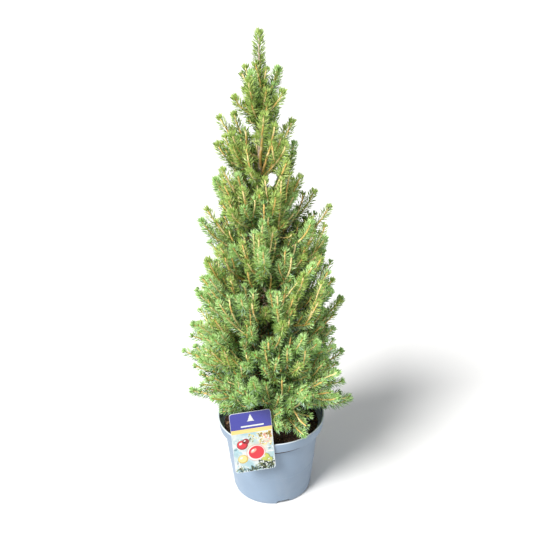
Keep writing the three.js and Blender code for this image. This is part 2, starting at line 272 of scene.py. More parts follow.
def ripple(points, wavelength, seed, octaves=3):
    """Smooth repeatable unevenness, about -1 to 1, from crossed waves at falling wavelengths."""
    rng = np.random.default_rng(seed)
    total = np.zeros(len(points))
    for octave in range(octaves):
        waves = rng.normal(size=(7, 3)) * (2.0 ** octave) * 2.6 / wavelength
        phases = rng.uniform(0, 2 * math.pi, 7)
        total += np.sin(points @ waves.T + phases).sum(axis=1) / (2.6 * 1.7 ** octave)
    return total / 1.6


def bezier(start, first, second, end, count):
    """Points along a cubic curve."""
    t = np.linspace(0, 1, count)[:, None]
    s = 1 - t
    return s**3 * start + 3 * s**2 * t * first + 3 * s * t**2 * second + t**3 * end


def side_vectors(tangents):
    """Two unit vectors across each tangent, turning as little as they can along the path."""
    first = np.cross(tangents[0], UP if abs(tangents[0][2]) < 0.9 else np.array([1.0, 0.0, 0.0]))
    sides = [unit(first)]
    for tangent in tangents[1:]:
        carried = sides[-1] - tangent * np.dot(sides[-1], tangent)
        sides.append(unit(carried))
    sides = np.array(sides)
    return sides, np.cross(tangents, sides)


def level_way(bearing):
    """The level direction at a bearing from +X."""
    return np.array([math.cos(bearing), math.sin(bearing), 0.0])


def run_along(path):
    """Length along a path from its start to each of its points."""
    return np.concatenate([[0], np.cumsum(np.linalg.norm(np.diff(path, axis=0), axis=1))])


class Gathering:
    """Collects points and faces of many small shapes, for one joined mesh."""

    def __init__(self):
        self.points = []
        self.faces = []
        self.tints = []
        self.count = 0

    def add(self, points, faces, tint):
        self.points.append(points)
        self.faces.append(faces + self.count)
        self.tints.append(np.full(len(faces), tint))
        self.count += len(points)

    def mesh(self, name, smooth):
        points, faces, tints = (np.concatenate(part) for part in (self.points, self.faces, self.tints))
        return joined_mesh(name, points, faces, tints, smooth)


def joined_mesh(name, points, faces, tints, smooth):
    """A mesh of triangles or quads from arrays, with a material number for each face or one for all."""
    mesh = bpy.data.meshes.new(name)
    mesh.vertices.add(len(points))
    mesh.vertices.foreach_set("co", np.ascontiguousarray(points, dtype=np.float32).ravel())
    mesh.loops.add(faces.size)
    mesh.loops.foreach_set("vertex_index", np.ascontiguousarray(faces, dtype=np.int32).ravel())
    mesh.polygons.add(len(faces))
    sides = faces.shape[1]
    mesh.polygons.foreach_set("loop_start", np.arange(len(faces), dtype=np.int32) * sides)
    mesh.polygons.foreach_set("material_index", np.full(len(faces), tints, dtype=np.int32))
    mesh.polygons.foreach_set("use_smooth", np.full(len(faces), smooth))
    mesh.update(calc_edges=True)
    return mesh


def wrapped_faces(rows, columns):
    """Triangles that close a skin of rows of points, with one more point at its start and one at its end."""
    around = np.arange(columns)
    ahead = (around + 1) % columns
    row_starts = np.arange(rows - 1)[:, None] * columns
    lower = (row_starts + around).ravel()
    turned = (row_starts + ahead).ravel()
    start, end = rows * columns, rows * columns + 1
    last = (rows - 1) * columns
    return np.vstack([
        np.stack([lower, turned, turned + columns], axis=1),
        np.stack([lower, turned + columns, lower + columns], axis=1),
        np.stack([ahead, around, np.full(columns, start)], axis=1),
        np.stack([around + last, ahead + last, np.full(columns, end)], axis=1),
    ])


def tube(points, radii, sides):
    """A closed tube of triangles along a path."""
    tangents = unit(np.gradient(points, axis=0))
    side, across = side_vectors(tangents)
    angles = np.arange(sides) * 2 * math.pi / sides
    ring = np.cos(angles)[None, :, None] * side[:, None] + np.sin(angles)[None, :, None] * across[:, None]
    skin = (points[:, None] + ring * np.asarray(radii)[:, None, None]).reshape(-1, 3)
    return np.vstack([skin, points[0], points[-1]]), wrapped_faces(len(points), sides)


def show(mesh, materials, replaces=()):
    """Makes the scene object for a mesh, and ties it to the frame."""
    piece = bpy.data.objects.new(mesh.name, mesh)
    bpy.context.scene.collection.objects.link(piece)
    for material in materials:
        mesh.materials.append(material)
    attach(piece, "root")
    if replaces:
        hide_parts(*replaces)
    return piece


# ---- Materials ----


def plain_finish(name, base, roughness, specular=0.4, coat=0.0):
    """A finish of one colour, for small things that are dealt their colours one by one."""
    material = bpy.data.materials.new(name)
    material.use_nodes = True
    shader = material.node_tree.nodes["Principled BSDF"]
    shader.inputs["Base Color"].default_value = (*base, 1.0)
    shader.inputs["Roughness"].default_value = roughness
    shader.inputs["Specular IOR Level"].default_value = specular
    shader.inputs["Coat Weight"].default_value = coat
    return material


class Finish:
    """A node-based finish, built up from noise, bands and bumps in the object's own coordinates."""

    def __init__(self, name, roughness=0.5, specular=0.5):
        self.material = bpy.data.materials.new(name)
        self.material.use_nodes = True
        self.tree = self.material.node_tree
        self.shader = self.tree.nodes["Principled BSDF"]
        self.shader.inputs["Roughness"].default_value = roughness
        self.shader.inputs["Specular IOR Level"].default_value = specular
        self.place = self.node("ShaderNodeTexCoord").outputs["Object"]

    def node(self, kind, **values):
        made = self.tree.nodes.new(kind)
        for name, value in values.items():
            setattr(made, name, value)
        return made

    def link(self, output, socket):
        self.tree.links.new(output, socket)

    def stretched(self, scale):
        mapping = self.node("ShaderNodeMapping")
        mapping.inputs["Scale"].default_value = scale
        self.link(self.place, mapping.inputs["Vector"])
        return mapping.outputs["Vector"]

    def noise(self, scale, detail=4.0, roughness=0.55, stretch=(1, 1, 1)):
        made = self.node("ShaderNodeTexNoise")
        made.inputs["Scale"].default_value = scale
        made.inputs["Detail"].default_value = detail
        made.inputs["Roughness"].default_value = roughness
        self.link(self.stretched(stretch), made.inputs["Vector"])
        return made.outputs["Fac"]

    def cells(self, scale, stretch=(1, 1, 1)):
        """How far a point is from the edges of a pattern of cells."""
        made = self.node("ShaderNodeTexVoronoi", feature="DISTANCE_TO_EDGE")
        made.inputs["Scale"].default_value = scale
        self.link(self.stretched(stretch), made.inputs["Vector"])
        return made.outputs["Distance"]

    def range(self, value, low, high, out_low=0.0, out_high=1.0):
        made = self.node("ShaderNodeMapRange")
        made.inputs["From Min"].default_value = low
        made.inputs["From Max"].default_value = high
        made.inputs["To Min"].default_value = out_low
        made.inputs["To Max"].default_value = out_high
        self.link(value, made.inputs["Value"])
        return made.outputs["Result"]

    def height(self, low, high):
        """How high a point is between two levels, 0 to 1."""
        split = self.node("ShaderNodeSeparateXYZ")
        self.link(self.place, split.inputs["Vector"])
        return self.range(split.outputs["Z"], low, high)

    def times(self, first, second):
        made = self.node("ShaderNodeMath", operation="MULTIPLY")
        self.link(first, made.inputs[0])
        self.link(second, made.inputs[1])
        return made.outputs["Value"]

    def mix(self, factor, first, second):
        """first and second are colours or sockets."""
        made = self.node("ShaderNodeMix", data_type="RGBA")
        self.link(factor, made.inputs["Factor"])
        for value, socket in ((first, made.inputs[6]), (second, made.inputs[7])):
            if isinstance(value, bpy.types.NodeSocket):
                self.link(value, socket)
            else:
                socket.default_value = (*value, 1.0)
        return made.outputs[2]

    def base(self, output):
        self.link(output, self.shader.inputs["Base Color"])

    def roughness(self, output):
        self.link(output, self.shader.inputs["Roughness"])

    def bump(self, output, distance, strength=1.0):
        made = self.node("ShaderNodeBump")
        made.inputs["Distance"].default_value = distance
        made.inputs["Strength"].default_value = strength
        self.link(output, made.inputs["Height"])
        self.link(made.outputs["Normal"], self.shader.inputs["Normal"])


GREENS = {
    "shade": (0.022, 0.045, 0.016),
    "deep": (0.058, 0.112, 0.031),
    "mid": (0.125, 0.220, 0.050),
    "leaf": (0.210, 0.338, 0.078),
    "light": (0.320, 0.462, 0.128),
    "fresh": (0.445, 0.570, 0.215),
    "glaucous": (0.300, 0.400, 0.260),
}
# Two casts of the same greens: painted sunlight and painted shade.
PAINTED_SUNLIT_CAST = (1.13, 1.13, 0.88)  # sunlit, yellower, mostly high in the crown
PAINTED_SHADE_CAST = (1.21, 1.35, 1.50)  # shaded, bluer, mostly low in the crown
DRY_NEEDLE = (0.340, 0.215, 0.075)
LIGHTNESS_STEPS = 6  # shade to fresh
GLAUCOUS = list(GREENS).index("glaucous")
DRY = 2 * len(GREENS)  # comes after both families of greens


def needle_finishes():
    """Warm greens in painted sunlight, cool greens in painted shade, and one brown, in that order."""
    finishes = []
    for family, cast in (("warm", PAINTED_SUNLIT_CAST), ("cool", PAINTED_SHADE_CAST)):
        for name, green in GREENS.items():
            base = tuple(channel * factor for channel, factor in zip(green, cast))
            finishes.append(plain_finish(f"{family} {name} needle", base, 0.36, specular=0.5, coat=0.12))
    finishes.append(plain_finish("dry needle", DRY_NEEDLE, 0.6))
    return finishes


def bark_finish(settings):
    finish = Finish("spruce bark", roughness=0.85, specular=0.25)
    scales = finish.cells(260.0, stretch=(1, 1, 0.45))
    plates = finish.range(scales, 0.0, 0.35)
    blotches = finish.noise(60.0, detail=5.0)
    shaded = finish.mix(plates, tuple(settings.dark), tuple(settings.light))
    flush = finish.mix(finish.range(blotches, 0.4, 0.7), shaded, (0.62, 0.47, 0.36))
    young = finish.mix(plates, (0.62, 0.46, 0.37), tuple(settings.young))
    finish.base(finish.mix(finish.height(0.46, 0.58), flush, young))
    finish.bump(finish.times(plates, finish.noise(420.0)), 0.0006)
    return finish.material


def compost_finish(settings):
    finish = Finish("potting compost", roughness=0.92, specular=0.2)
    grains = finish.noise(420.0, detail=6.0, roughness=0.7)
    flecks = finish.noise(170.0, detail=3.0)
    mixed = finish.mix(finish.range(grains, 0.42, 0.68), tuple(settings.dark), tuple(settings.brown))
    finish.base(finish.mix(finish.range(flecks, 0.62, 0.72), mixed, (0.085, 0.036, 0.018)))
    finish.bump(grains, 0.0012)
    return finish.material


def plastic_finish(settings):
    finish = Finish("blue-grey plastic", roughness=0.4, specular=0.45)
    clouds = finish.noise(9.0, detail=3.0)
    body = tuple(settings.plastic)
    deeper = tuple(0.86 * channel for channel in body)
    base = finish.mix(finish.range(clouds, 0.35, 0.7), body, deeper)
    smears = finish.times(finish.noise(38.0, detail=6.0, stretch=(1, 1, 0.35)), finish.noise(6.0))
    dusted = finish.mix(finish.range(smears, 0.34, 0.55, 0.0, 0.14), base, tuple(settings.dust))
    foot = finish.times(finish.range(finish.height(0.030, 0.0), 0.0, 1.0), finish.noise(70.0, detail=5.0))
    footed = finish.mix(finish.range(foot, 0.3, 0.75, 0.0, 0.16), dusted, (0.16, 0.13, 0.10))
    # The top of the rim, fading in over its last millimetre, takes the painted highlight colour.
    painted_lip_highlight = finish.height(RIM_HEIGHT - 1.1 * MM, RIM_HEIGHT - 0.5 * MM)
    finish.base(finish.mix(painted_lip_highlight, footed, tuple(settings.painted_lip_highlight)))
    finish.roughness(finish.range(finish.noise(30.0, detail=5.0), 0.3, 0.7, 0.33, 0.52))
    finish.bump(finish.noise(900.0, detail=2.0), 0.00008, 0.6)
    return finish.material


# ---- Trunk and boughs ----


TRUNK_SIDES = 44
BOUGH_SIDES = 16
TRUNK_SEED = 11
BOUGH_SEED = 40  # of the first bough; each further one is one more
FLARE_HEIGHT = 30 * MM  # the root flare ends here, above the soil
RING_GAP = 8 * MM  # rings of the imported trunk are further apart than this


def trunk_line():
    """Centres and radii of the trunk's rings, from the foot up."""
    points, _ = node_shape("trunk")
    points = points[np.argsort(points[:, 2])]
    breaks = np.nonzero(np.diff(points[:, 2]) > RING_GAP)[0] + 1
    rings = np.split(points, breaks)
    centres = np.array([ring.mean(axis=0) for ring in rings])
    radii = np.array([np.linalg.norm((ring - c)[:, :2], axis=1).max() for ring, c in zip(rings, centres)])
    centres[0][2] = TRUNK_LOW[2]
    centres[-1][2] = TRUNK_HIGH[2]
    return centres, radii


TRUNK_CENTRES, TRUNK_RADII = trunk_line()


def trunk_at(height):
    """The trunk's centre at a height."""
    levels = TRUNK_CENTRES[:, 2]
    x = np.interp(height, levels, TRUNK_CENTRES[:, 0])
    y = np.interp(height, levels, TRUNK_CENTRES[:, 1])
    return np.stack([x, y, np.broadcast_to(height, np.shape(x))], axis=-1)


def trunk_radius(height):
    return np.interp(height, TRUNK_CENTRES[:, 2], TRUNK_RADII)


def bough_ends(node):
    """Where a bough leaves the trunk and where it ends, with its radius at each."""
    points, _ = node_shape(node)
    middle = points.mean(axis=0)
    outward = unit(middle - trunk_at(middle[2]))
    along = unit(np.linalg.svd(points - middle, full_matrices=False)[2][0])
    if np.dot(along, outward) < 0:
        along = -along
    travel = (points - middle) @ along
    outer = points[travel > travel.max() - 1.5 * MM]
    end = outer.mean(axis=0)
    end_radius = np.linalg.norm(outer - end, axis=1).max()
    start = middle + along * travel.min()
    return start, end, 1.55 * end_radius, end_radius


def rough_limb(points, radii, sides, relief, seed):
    """A limb with raised scales and leaf cushions in its surface."""
    skin, faces = tube(points, radii, sides)
    rows = len(points)
    centres = np.vstack([np.repeat(points, sides, axis=0), points[0], points[-1]])
    thickness = np.concatenate([np.repeat(radii, sides), [radii[0], radii[-1]]])
    outward = skin - centres
    spread = np.linalg.norm(outward, axis=1) > 1e-6
    scales = ripple(skin * [1, 1, 0.45], 5.5 * MM, seed)
    cracks = -np.abs(ripple(skin * [1, 1, 0.35], 7.0 * MM, seed + 1))
    around = np.tile(np.arange(sides) / sides, rows)
    along = np.repeat(np.arange(rows), sides)
    cushions = np.maximum(0, np.sin(2 * math.pi * (around * 5 + along * 0.23)) * np.sin(along * 0.9)) ** 2
    lift = np.zeros(len(skin))
    body = rows * sides
    lift[:body] = 0.6 * scales[:body] + 0.9 * cracks[:body] + 0.7 * cushions
    scale = relief * np.clip(thickness / (7 * MM), 0.25, 1.3)
    skin[spread] += unit(outward[spread]) * (lift * scale)[spread, None]
    return skin, faces


def make_trunk(settings):
    levels = np.arange(TRUNK_LOW[2] - 2 * MM, TRUNK_HIGH[2], settings.ring_step)
    centres = trunk_at(np.clip(levels, TRUNK_LOW[2], None))
    centres[:, 2] = levels
    radii = trunk_radius(levels)
    rise = np.clip(levels - SOIL_LEVEL, 0, None)
    radii = np.where(rise < FLARE_HEIGHT, radii * (1 + 0.06 * np.cos(rise / FLARE_HEIGHT * math.pi)), radii)
    points, faces = rough_limb(centres, radii, TRUNK_SIDES, settings.relief, TRUNK_SEED)
    show(joined_mesh("trunk_bark", points, faces, 0, True), [bark_finish(settings)], ["trunk"])


def make_boughs(settings):
    gathered = Gathering()
    for order, node in enumerate(BOUGHS):
        start, end, start_radius, end_radius = bough_ends(node)
        reach = np.linalg.norm(end - start)
        inside = start - unit(end - start) * 3 * MM
        sag = (start + end) / 2 + np.array([0, 0, -0.03 * reach])
        path = bezier(inside, sag, sag, end, max(8, int(reach / settings.ring_step)))
        share = np.linspace(0, 1, len(path))
        collar = 1.2 * MM * np.exp(-share * reach / (4 * MM))
        radii = start_radius + (end_radius - start_radius) * share + collar
        points, faces = rough_limb(path, radii, BOUGH_SIDES, settings.relief, BOUGH_SEED + order)
        gathered.add(points, faces, 0)
    show(gathered.mesh("bough_bark", True), [bark_finish(settings)], BOUGHS)


# ---- How the crown grows ----


class Stem:
    """One shoot or twig: a path from where it forks off to its tip."""

    def __init__(self, tier, path, radii, leafy, tone, has_wood=True, fullness=1.0):
        self.tier = tier
        self.path = path
        self.radii = radii
        self.leafy = leafy  # length from the tip that keeps all its needles
        self.tone = tone  # 0 deep in the crown, 1 out in the light
        # The tone sets how light its needles are painted; darker deep inside the crown is painted shade.
        self.has_wood = has_wood
        self.fullness = fullness  # needles on it, beside those on a usual stem


def crown_share(height):
    return np.clip((height - CROWN_LOW) / (CROWN_HIGH - CROWN_LOW), 0, 1)


def crown_radius(height):
    """Rough reach of the crown at a height."""
    reaches = np.array([140, 142, 105, 72, 36, 14]) * MM
    return np.interp(crown_share(height), [0, 0.2, 0.5, 0.7, 0.88, 1], reaches)


def tip_direction(point, rng):
    """Shoots stand upright at the top and the middle of the crown and lie nearly flat at its foot."""
    radial = point - trunk_at(point[2])
    outness = min(1.1, math.hypot(radial[0], radial[1]) / crown_radius(point[2]))
    bearing = math.atan2(radial[1], radial[0]) + rng.normal(0, 0.2)
    share = crown_share(point[2])
    lean = np.interp(share, [0, 0.08, 0.2, 0.32, 0.5, 0.7, 0.88, 1], [84, 68, 52, 40, 29, 25, 26, 8])
    upright = np.interp(share, [0.05, 0.2], [0.12, 0.5])
    sideways = 1 - upright * (1 - abs(math.cos(bearing)))
    lean = math.radians(lean * sideways * (0.5 + 0.52 * outness) + rng.normal(0, 5))
    return unit(math.cos(lean) * UP + math.sin(lean) * level_way(bearing))


def scattered(points, spacing, taken=()):
    """Picks points in order so that no two are nearer than the spacing."""
    kept = list(taken)
    chosen = []
    for number, point in enumerate(points):
        if kept and np.min(np.linalg.norm(np.array(kept) - point, axis=1)) < spacing:
            continue
        kept.append(point)
        chosen.append(number)
    return chosen


def surface_samples(points, faces, count, rng):
    """Random places on a mesh with their outward normals."""
    a, b, c = (points[faces[:, k]] for k in range(3))
    cross = np.cross(b - a, c - a)
    area = np.linalg.norm(cross, axis=1)
    picked = rng.choice(len(faces), count, p=area / area.sum())
    u, v = rng.random((2, count))
    flip = u + v > 1
    u[flip], v[flip] = 1 - u[flip], 1 - v[flip]
    place = a[picked] + u[:, None] * (b - a)[picked] + v[:, None] * (c - a)[picked]
    return place, unit(cross[picked])


def furthest_tips(points, start, count):
    """The mass's own outer tips: each the point furthest from the ones before."""
    taken = [start]
    for _ in range(count):
        away = np.min([np.linalg.norm(points - one, axis=1) for one in taken], axis=0)
        taken.append(points[np.argmax(away)])
    return taken[1:]


def eased(point, direction):
    """Moves a tip from the mass's skin to where its last needles just reach that skin.

    The crown is also a little fuller to both sides at mid height, most of all to the right, and it is
    narrower at its top and low on the left.
    """
    axis = trunk_at(point[2])
    radial = point - axis
    across = radial[0] / max(1e-6, math.hypot(radial[0], radial[1]))
    fuller_right = np.interp(
        point[2], [0.24, 0.34, 0.38, 0.45, 0.52, 0.68, 0.70], [0.01, 0.0, 0.06, 0.18, 0.06, 0.05, -0.08]
    )
    fuller_left = np.interp(
        point[2], [0.18, 0.26, 0.33, 0.42, 0.52, 0.68, 0.70], [-0.14, -0.02, 0.06, 0.09, 0.02, 0.0, -0.12]
    )
    stretch = 1 + max(0, across) * fuller_right + max(0, -across) * fuller_left
    return axis + radial * np.array([stretch, 1 + 0.3 * (stretch - 1), 1]) - direction * 4 * MM


STANDING_COUNT = 64  # long shoots, tried at even steps of height all round the crown
STANDING_CLEAR = 12 * MM  # furthest that the tip of one lies from the skin of its mass
STANDING_FULLNESS = 2.1  # needles on each, beside those on a usual shoot
BETWEEN_COUNT = 130  # shoots tried straight from the trunk, inside the crown
STEM_TO_CARD = 5 * MM  # stems keep this far from the label's card
NEEDLE_TO_CARD = 2 * MM

GAP_FRONT = -85 * MM
GAP_FALL = 0.235  # a gap runs down towards the back, so it can be seen through from a little above


def gap(side, height, radius, back):
    """A gap from the front of the crown to a distance behind the trunk's middle, in millimetres.

    A negative distance ends it before the trunk's middle. The height is the one it has at the trunk.
    """
    start = np.array([side * MM, GAP_FRONT, height * MM - GAP_FALL * GAP_FRONT])
    end = np.array([side * MM, back * MM, (height - GAP_FALL * back) * MM])
    return start, end, radius * MM


# Two gaps that show the trunk, three that join to show the sky beside it, and one on the left
OPENINGS = (
    gap(-8, 622, 13, -8),
    gap(-8, 600, 10, -8),
    gap(10, 591, 4, 70),
    gap(11, 581, 6, 70),
    gap(10, 571, 4.5, 70),
    gap(-30, 580, 4, 60),
)


def in_opening(points, extra=0.0):
    """Which points lie in one of the crown's gaps."""
    inside = np.zeros(len(points), dtype=bool)
    for start, end, radius in OPENINGS:
        along = end - start
        share = np.clip((points - start) @ along / (along @ along), 0, 1)
        inside |= np.linalg.norm(points - start - share[:, None] * along, axis=1) < radius + extra
    return inside


def skin_tree(points, faces):
    """A mesh's skin, for finding its nearest point or where a ray meets it."""
    return BVHTree.FromPolygons(points.tolist(), faces.tolist())


class Crown:
    """All stems of the plant, grown from the limbs into the foliage masses by one seeded rule."""

    def __init__(self, shoots, twigs):
        self.shoots = shoots
        self.twigs = twigs
        self.rng = np.random.default_rng(shoots.seed)
        self.stems = []
        shapes = {node: node_shape(node) for node in MASSES}
        all_points = np.vstack([points for points, _ in shapes.values()])
        offsets = np.cumsum([0] + [len(points) for points, _ in shapes.values()][:-1])
        all_faces = np.vstack([faces + offset for (_, faces), offset in zip(shapes.values(), offsets)])
        self.whole = skin_tree(all_points, all_faces)
        self.standing = {node: [] for node in MASSES}
        self.skins = {node: skin_tree(points, faces) for node, (points, faces) in shapes.items()}
        self.place_standing()
        self.grow_leader()
        for node, (points, faces) in shapes.items():
            self.grow_mass(node, points, faces)
        self.grow_between()

    def place_standing(self):
        """Winds the tips of the standing shoots round the crown, each close to the nearest skin."""
        heights = np.linspace(CROWN_LOW + 25 * MM, CREST_TOP - 10 * MM, STANDING_COUNT)
        for order, height in enumerate(heights):
            tip = trunk_at(height) + crown_radius(height) * level_way(order * GOLDEN_ANGLE)
            nearest = min(MASSES, key=lambda node: self.skins[node].find_nearest(Vector(tip))[3])
            skin, _, _, distance = self.skins[nearest].find_nearest(Vector(tip))
            if distance > STANDING_CLEAR:
                tip = np.array(skin) + unit(tip - np.array(skin)) * STANDING_CLEAR
            if not in_opening(tip[None], 10 * MM)[0]:
                self.standing[nearest].append(tip)

    def grow_leader(self):
        heights = np.arange(TRUNK_HIGH[2] - 155 * MM, TRUNK_HIGH[2] - 3 * MM, 6 * MM)
        path = trunk_at(heights)
        self.stems.append(Stem("leader", path, trunk_radius(heights), 120 * MM, 0.60, False, fullness=2.7))

    def grow_between(self):
        """Shoots straight from the trunk, that close the hollows between the masses."""
        label = bpy.context.scene.spruce_label
        for order, share in enumerate(np.linspace(0.03, 0.72, BETWEEN_COUNT)):
            height = CROWN_LOW + share * (CROWN_HIGH - CROWN_LOW)
            lean = math.radians(np.interp(share, [0, 0.3, 0.72], [76, 52, 34]) + self.rng.normal(0, 5))
            reach = crown_radius(height) * self.rng.uniform(0.45, 0.8)
            reach *= np.interp(share, [0.3, 0.72], [1, 0.55])
            out = level_way(order * GOLDEN_ANGLE)
            start = trunk_at(height)
            end = start + reach * out + reach / math.tan(lean) * UP
            path = bezier(start, start + 0.4 * reach * out, end - 0.5 * reach * UP / math.tan(lean), end, 12)
            if in_opening(path[3:], 4 * MM).any() or near_card(path, label, STEM_TO_CARD).any():
                continue
            radii = np.linspace(self.twigs.tip_radius * 1.8, self.twigs.tip_radius, len(path))
            tier = next((name for name, foot in TIER_FEET if height >= foot), "skirt")
            # These inner shoots get fairly dark needles: painted shade.
            self.stems.append(Stem(tier, path, radii, 60 * MM, self.rng.uniform(0.28, 0.46), fullness=0.9))

    def is_open(self, place, normal):
        """Whether a shoot could end here: on the skin of a mass, in open air, and not on its underside."""
        radial = unit((place - trunk_at(place[2])) * [1, 1, 0])
        lean = np.interp(crown_share(place[2]), [0, 0.2, 0.5, 1], [1.2, 0.85, 0.5, 0.3])
        growth = unit(math.cos(lean) * UP + math.sin(lean) * radial)
        if np.dot(normal, unit(growth + 0.35 * UP)) < 0.05:
            return False
        for direction in (normal, unit(radial * 0.8 + UP * 0.6)):
            hit = self.whole.ray_cast(Vector(place + normal * 1.5 * MM), Vector(direction), 45 * MM)
            if hit[0] is not None:
                return False
        return True

    def roots_of(self, node, points):
        """Where shoots of a mass may fork off at first: its bough, or the trunk beside it."""
        bough = node.replace("foliage_", "bough_")
        if bough in BOUGHS:
            start, end, start_radius, end_radius = bough_ends(bough)
            share = np.linspace(0.35, 1, 6)[:, None]
            places = start + (end - start) * share
            tangents = np.tile(unit(end - start), (len(places), 1))
            radii = start_radius + (end_radius - start_radius) * share[:, 0]
            return places, tangents, radii
        low, high = points[:, 2].min(), points[:, 2].max()
        top = high - 12 * MM if node == "foliage_leader" else low + 0.55 * (high - low)
        heights = np.arange(low, top, 7 * MM)
        places = trunk_at(heights)
        tangents = np.tile(UP, (len(places), 1))
        return places, tangents, np.minimum(trunk_radius(heights), 2.4 * MM)

    def grow_mass(self, node, points, faces):
        rng = self.rng
        tier = tier_of(node)
        small = FINENESS.get(tier, 1.0)
        self.places, self.tangents, self.widths = self.roots_of(node, points)
        self.root_count = len(self.places)
        start = self.places.mean(axis=0)
        is_leader = node == "foliage_leader"
        tips = furthest_tips(points, start, 3) if not is_leader else []
        a, b, c = (points[faces[:, k]] for k in range(3))
        area = np.linalg.norm(np.cross(b - a, c - a), axis=1).sum() / 2
        count = int(area / (5 * MM) ** 2)
        places, normals = surface_samples(points, faces, count, rng)
        open_air = np.array([self.is_open(p, n) for p, n in zip(places, normals)], dtype=bool)
        outer = places[open_air & ~in_opening(places, 6 * MM)]
        if is_leader:
            outer = outer[outer[:, 2] < TRUNK_HIGH[2] - 30 * MM]
        chosen = scattered(outer, self.shoots.tip_spacing * small, tips)
        ends = tips + [outer[k] for k in chosen]
        order = np.argsort([np.linalg.norm(end - start) for end in ends[len(tips):]])
        ordered = ends[: len(tips)] + [ends[len(tips) + k] for k in order]
        for tip in self.standing[node]:
            self.sprout(tier, tip, unit(tip_direction(tip, rng) + 0.95 * UP), 0.66, small, is_main=True)
            if np.allclose(self.stems[-1].path[-1], tip):
                self.stems[-1].fullness = STANDING_FULLNESS
        for number, end in enumerate(ordered):
            tone = 0.58 + 0.2 * rng.random()
            direction = tip_direction(end, rng)
            self.sprout(tier, eased(end, direction), direction, tone, small, is_main=number < len(tips))
        if not is_leader:
            self.fill(node, tier, points, small)

    def fill(self, node, tier, points, small):
        """Short shoots inside the mass."""
        rng = self.rng
        low, high = points.min(axis=0), points.max(axis=0)
        spacing = self.shoots.fill_spacing * small
        count = int(14 * np.prod(high - low) / spacing**3)
        candidates = rng.uniform(low, high, (count, 3))
        held = []
        for point in candidates:
            place, normal, _, distance = self.skins[node].find_nearest(Vector(point))
            is_inside = (Vector(point) - place).dot(normal) < 0
            if is_inside and distance > 9 * MM and not in_opening(point[None], 5 * MM)[0]:
                held.append(point)
        for k in scattered(held, spacing):
            # Shoots inside the mass get dark needles: painted shade.
            tone = 0.16 + 0.24 * rng.random()
            self.sprout(tier, held[k], tip_direction(held[k], rng), tone, small, is_fill=True)

    def sprout(self, tier, end, direction, tone, small, is_main=False, is_fill=False):
        """Grows one nearly straight stem to its tip, from the fork that suits its direction best."""
        rng = self.rng
        away = end - self.places
        ahead = away @ direction
        across = np.linalg.norm(away - ahead[:, None] * direction, axis=1)
        wanted = self.shoots.run * small * (1.5 if is_main else 0.6 if is_fill else 1.0)
        cost = 1.6 * across + 0.4 * np.abs(ahead - wanted) + 4 * np.maximum(0, 0.6 * wanted - ahead)
        cost += 12 * MM * (1 - self.tangents @ direction)
        if is_main:
            cost[self.root_count:] += 1.0
        fork = int(np.argmin(cost))
        origin, tangent = self.places[fork], self.tangents[fork]
        span = np.linalg.norm(away[fork])
        straight = unit(away[fork])
        leaving = unit(straight + 0.3 * tangent + rng.normal(0, 0.05, 3))
        ending = unit(0.7 * direction + 0.3 * straight)
        count = max(4, int(span / (7 * MM)))
        path = bezier(origin, origin + leaving * 0.34 * span, end - ending * 0.36 * span, end, count)
        if near_card(path, bpy.context.scene.spruce_label, STEM_TO_CARD).any():
            return
        if in_opening(path[2:-1]).any() and not is_main:
            return
        over_soil_front = end[1] < -40 * MM and end[2] < RIM_HEIGHT + 27 * MM
        above_crest = tier != "leader" and end[2] > CREST_TOP
        if over_soil_front or above_crest:
            return
        tip_radius = self.twigs.tip_radius
        base_radius = min(self.widths[fork] * 0.92, tip_radius + self.twigs.thickening * span)
        share = np.linspace(0, 1, count)
        radii = base_radius + (tip_radius - base_radius) * share**0.8
        leafy = self.shoots.leafy * small * rng.uniform(0.8, 1.3)
        if is_fill:
            leafy *= 0.75
        if is_main:
            leafy *= 1.5
        fullness = 1.55 if is_main else 0.8 if is_fill else 1.0
        self.stems.append(Stem(tier, path, radii, leafy, tone, fullness=fullness))
        keep = slice(1, max(2, count - 2))
        self.places = np.vstack([self.places, path[keep]])
        self.tangents = np.vstack([self.tangents, unit(np.gradient(path, axis=0))[keep]])
        self.widths = np.concatenate([self.widths, radii[keep]])


GROWN = {}


def grown_crown():
    """The crown is grown once, and its twigs and needles share it."""
    if "crown" not in GROWN:
        scene = bpy.context.scene
        GROWN["crown"] = Crown(scene.spruce_shoots, scene.spruce_twigs)
    return GROWN["crown"]


def group_of(tier):
    return next(group for group, tiers in TIER_GROUPS.items() if tier in tiers)


# ---- Twigs and buds ----


BUD_SIZE = 2.1 * MM
STEM_SIDES = 5


def bud_shape(tip, direction, size):
    """A small pointed bud that sits on the end of a shoot."""
    path = tip + direction * np.array([-0.4, 0.1, 0.7, 1.2])[:, None] * size
    return tube(path, np.array([0.45, 0.55, 0.38, 0.08]) * size, 6)


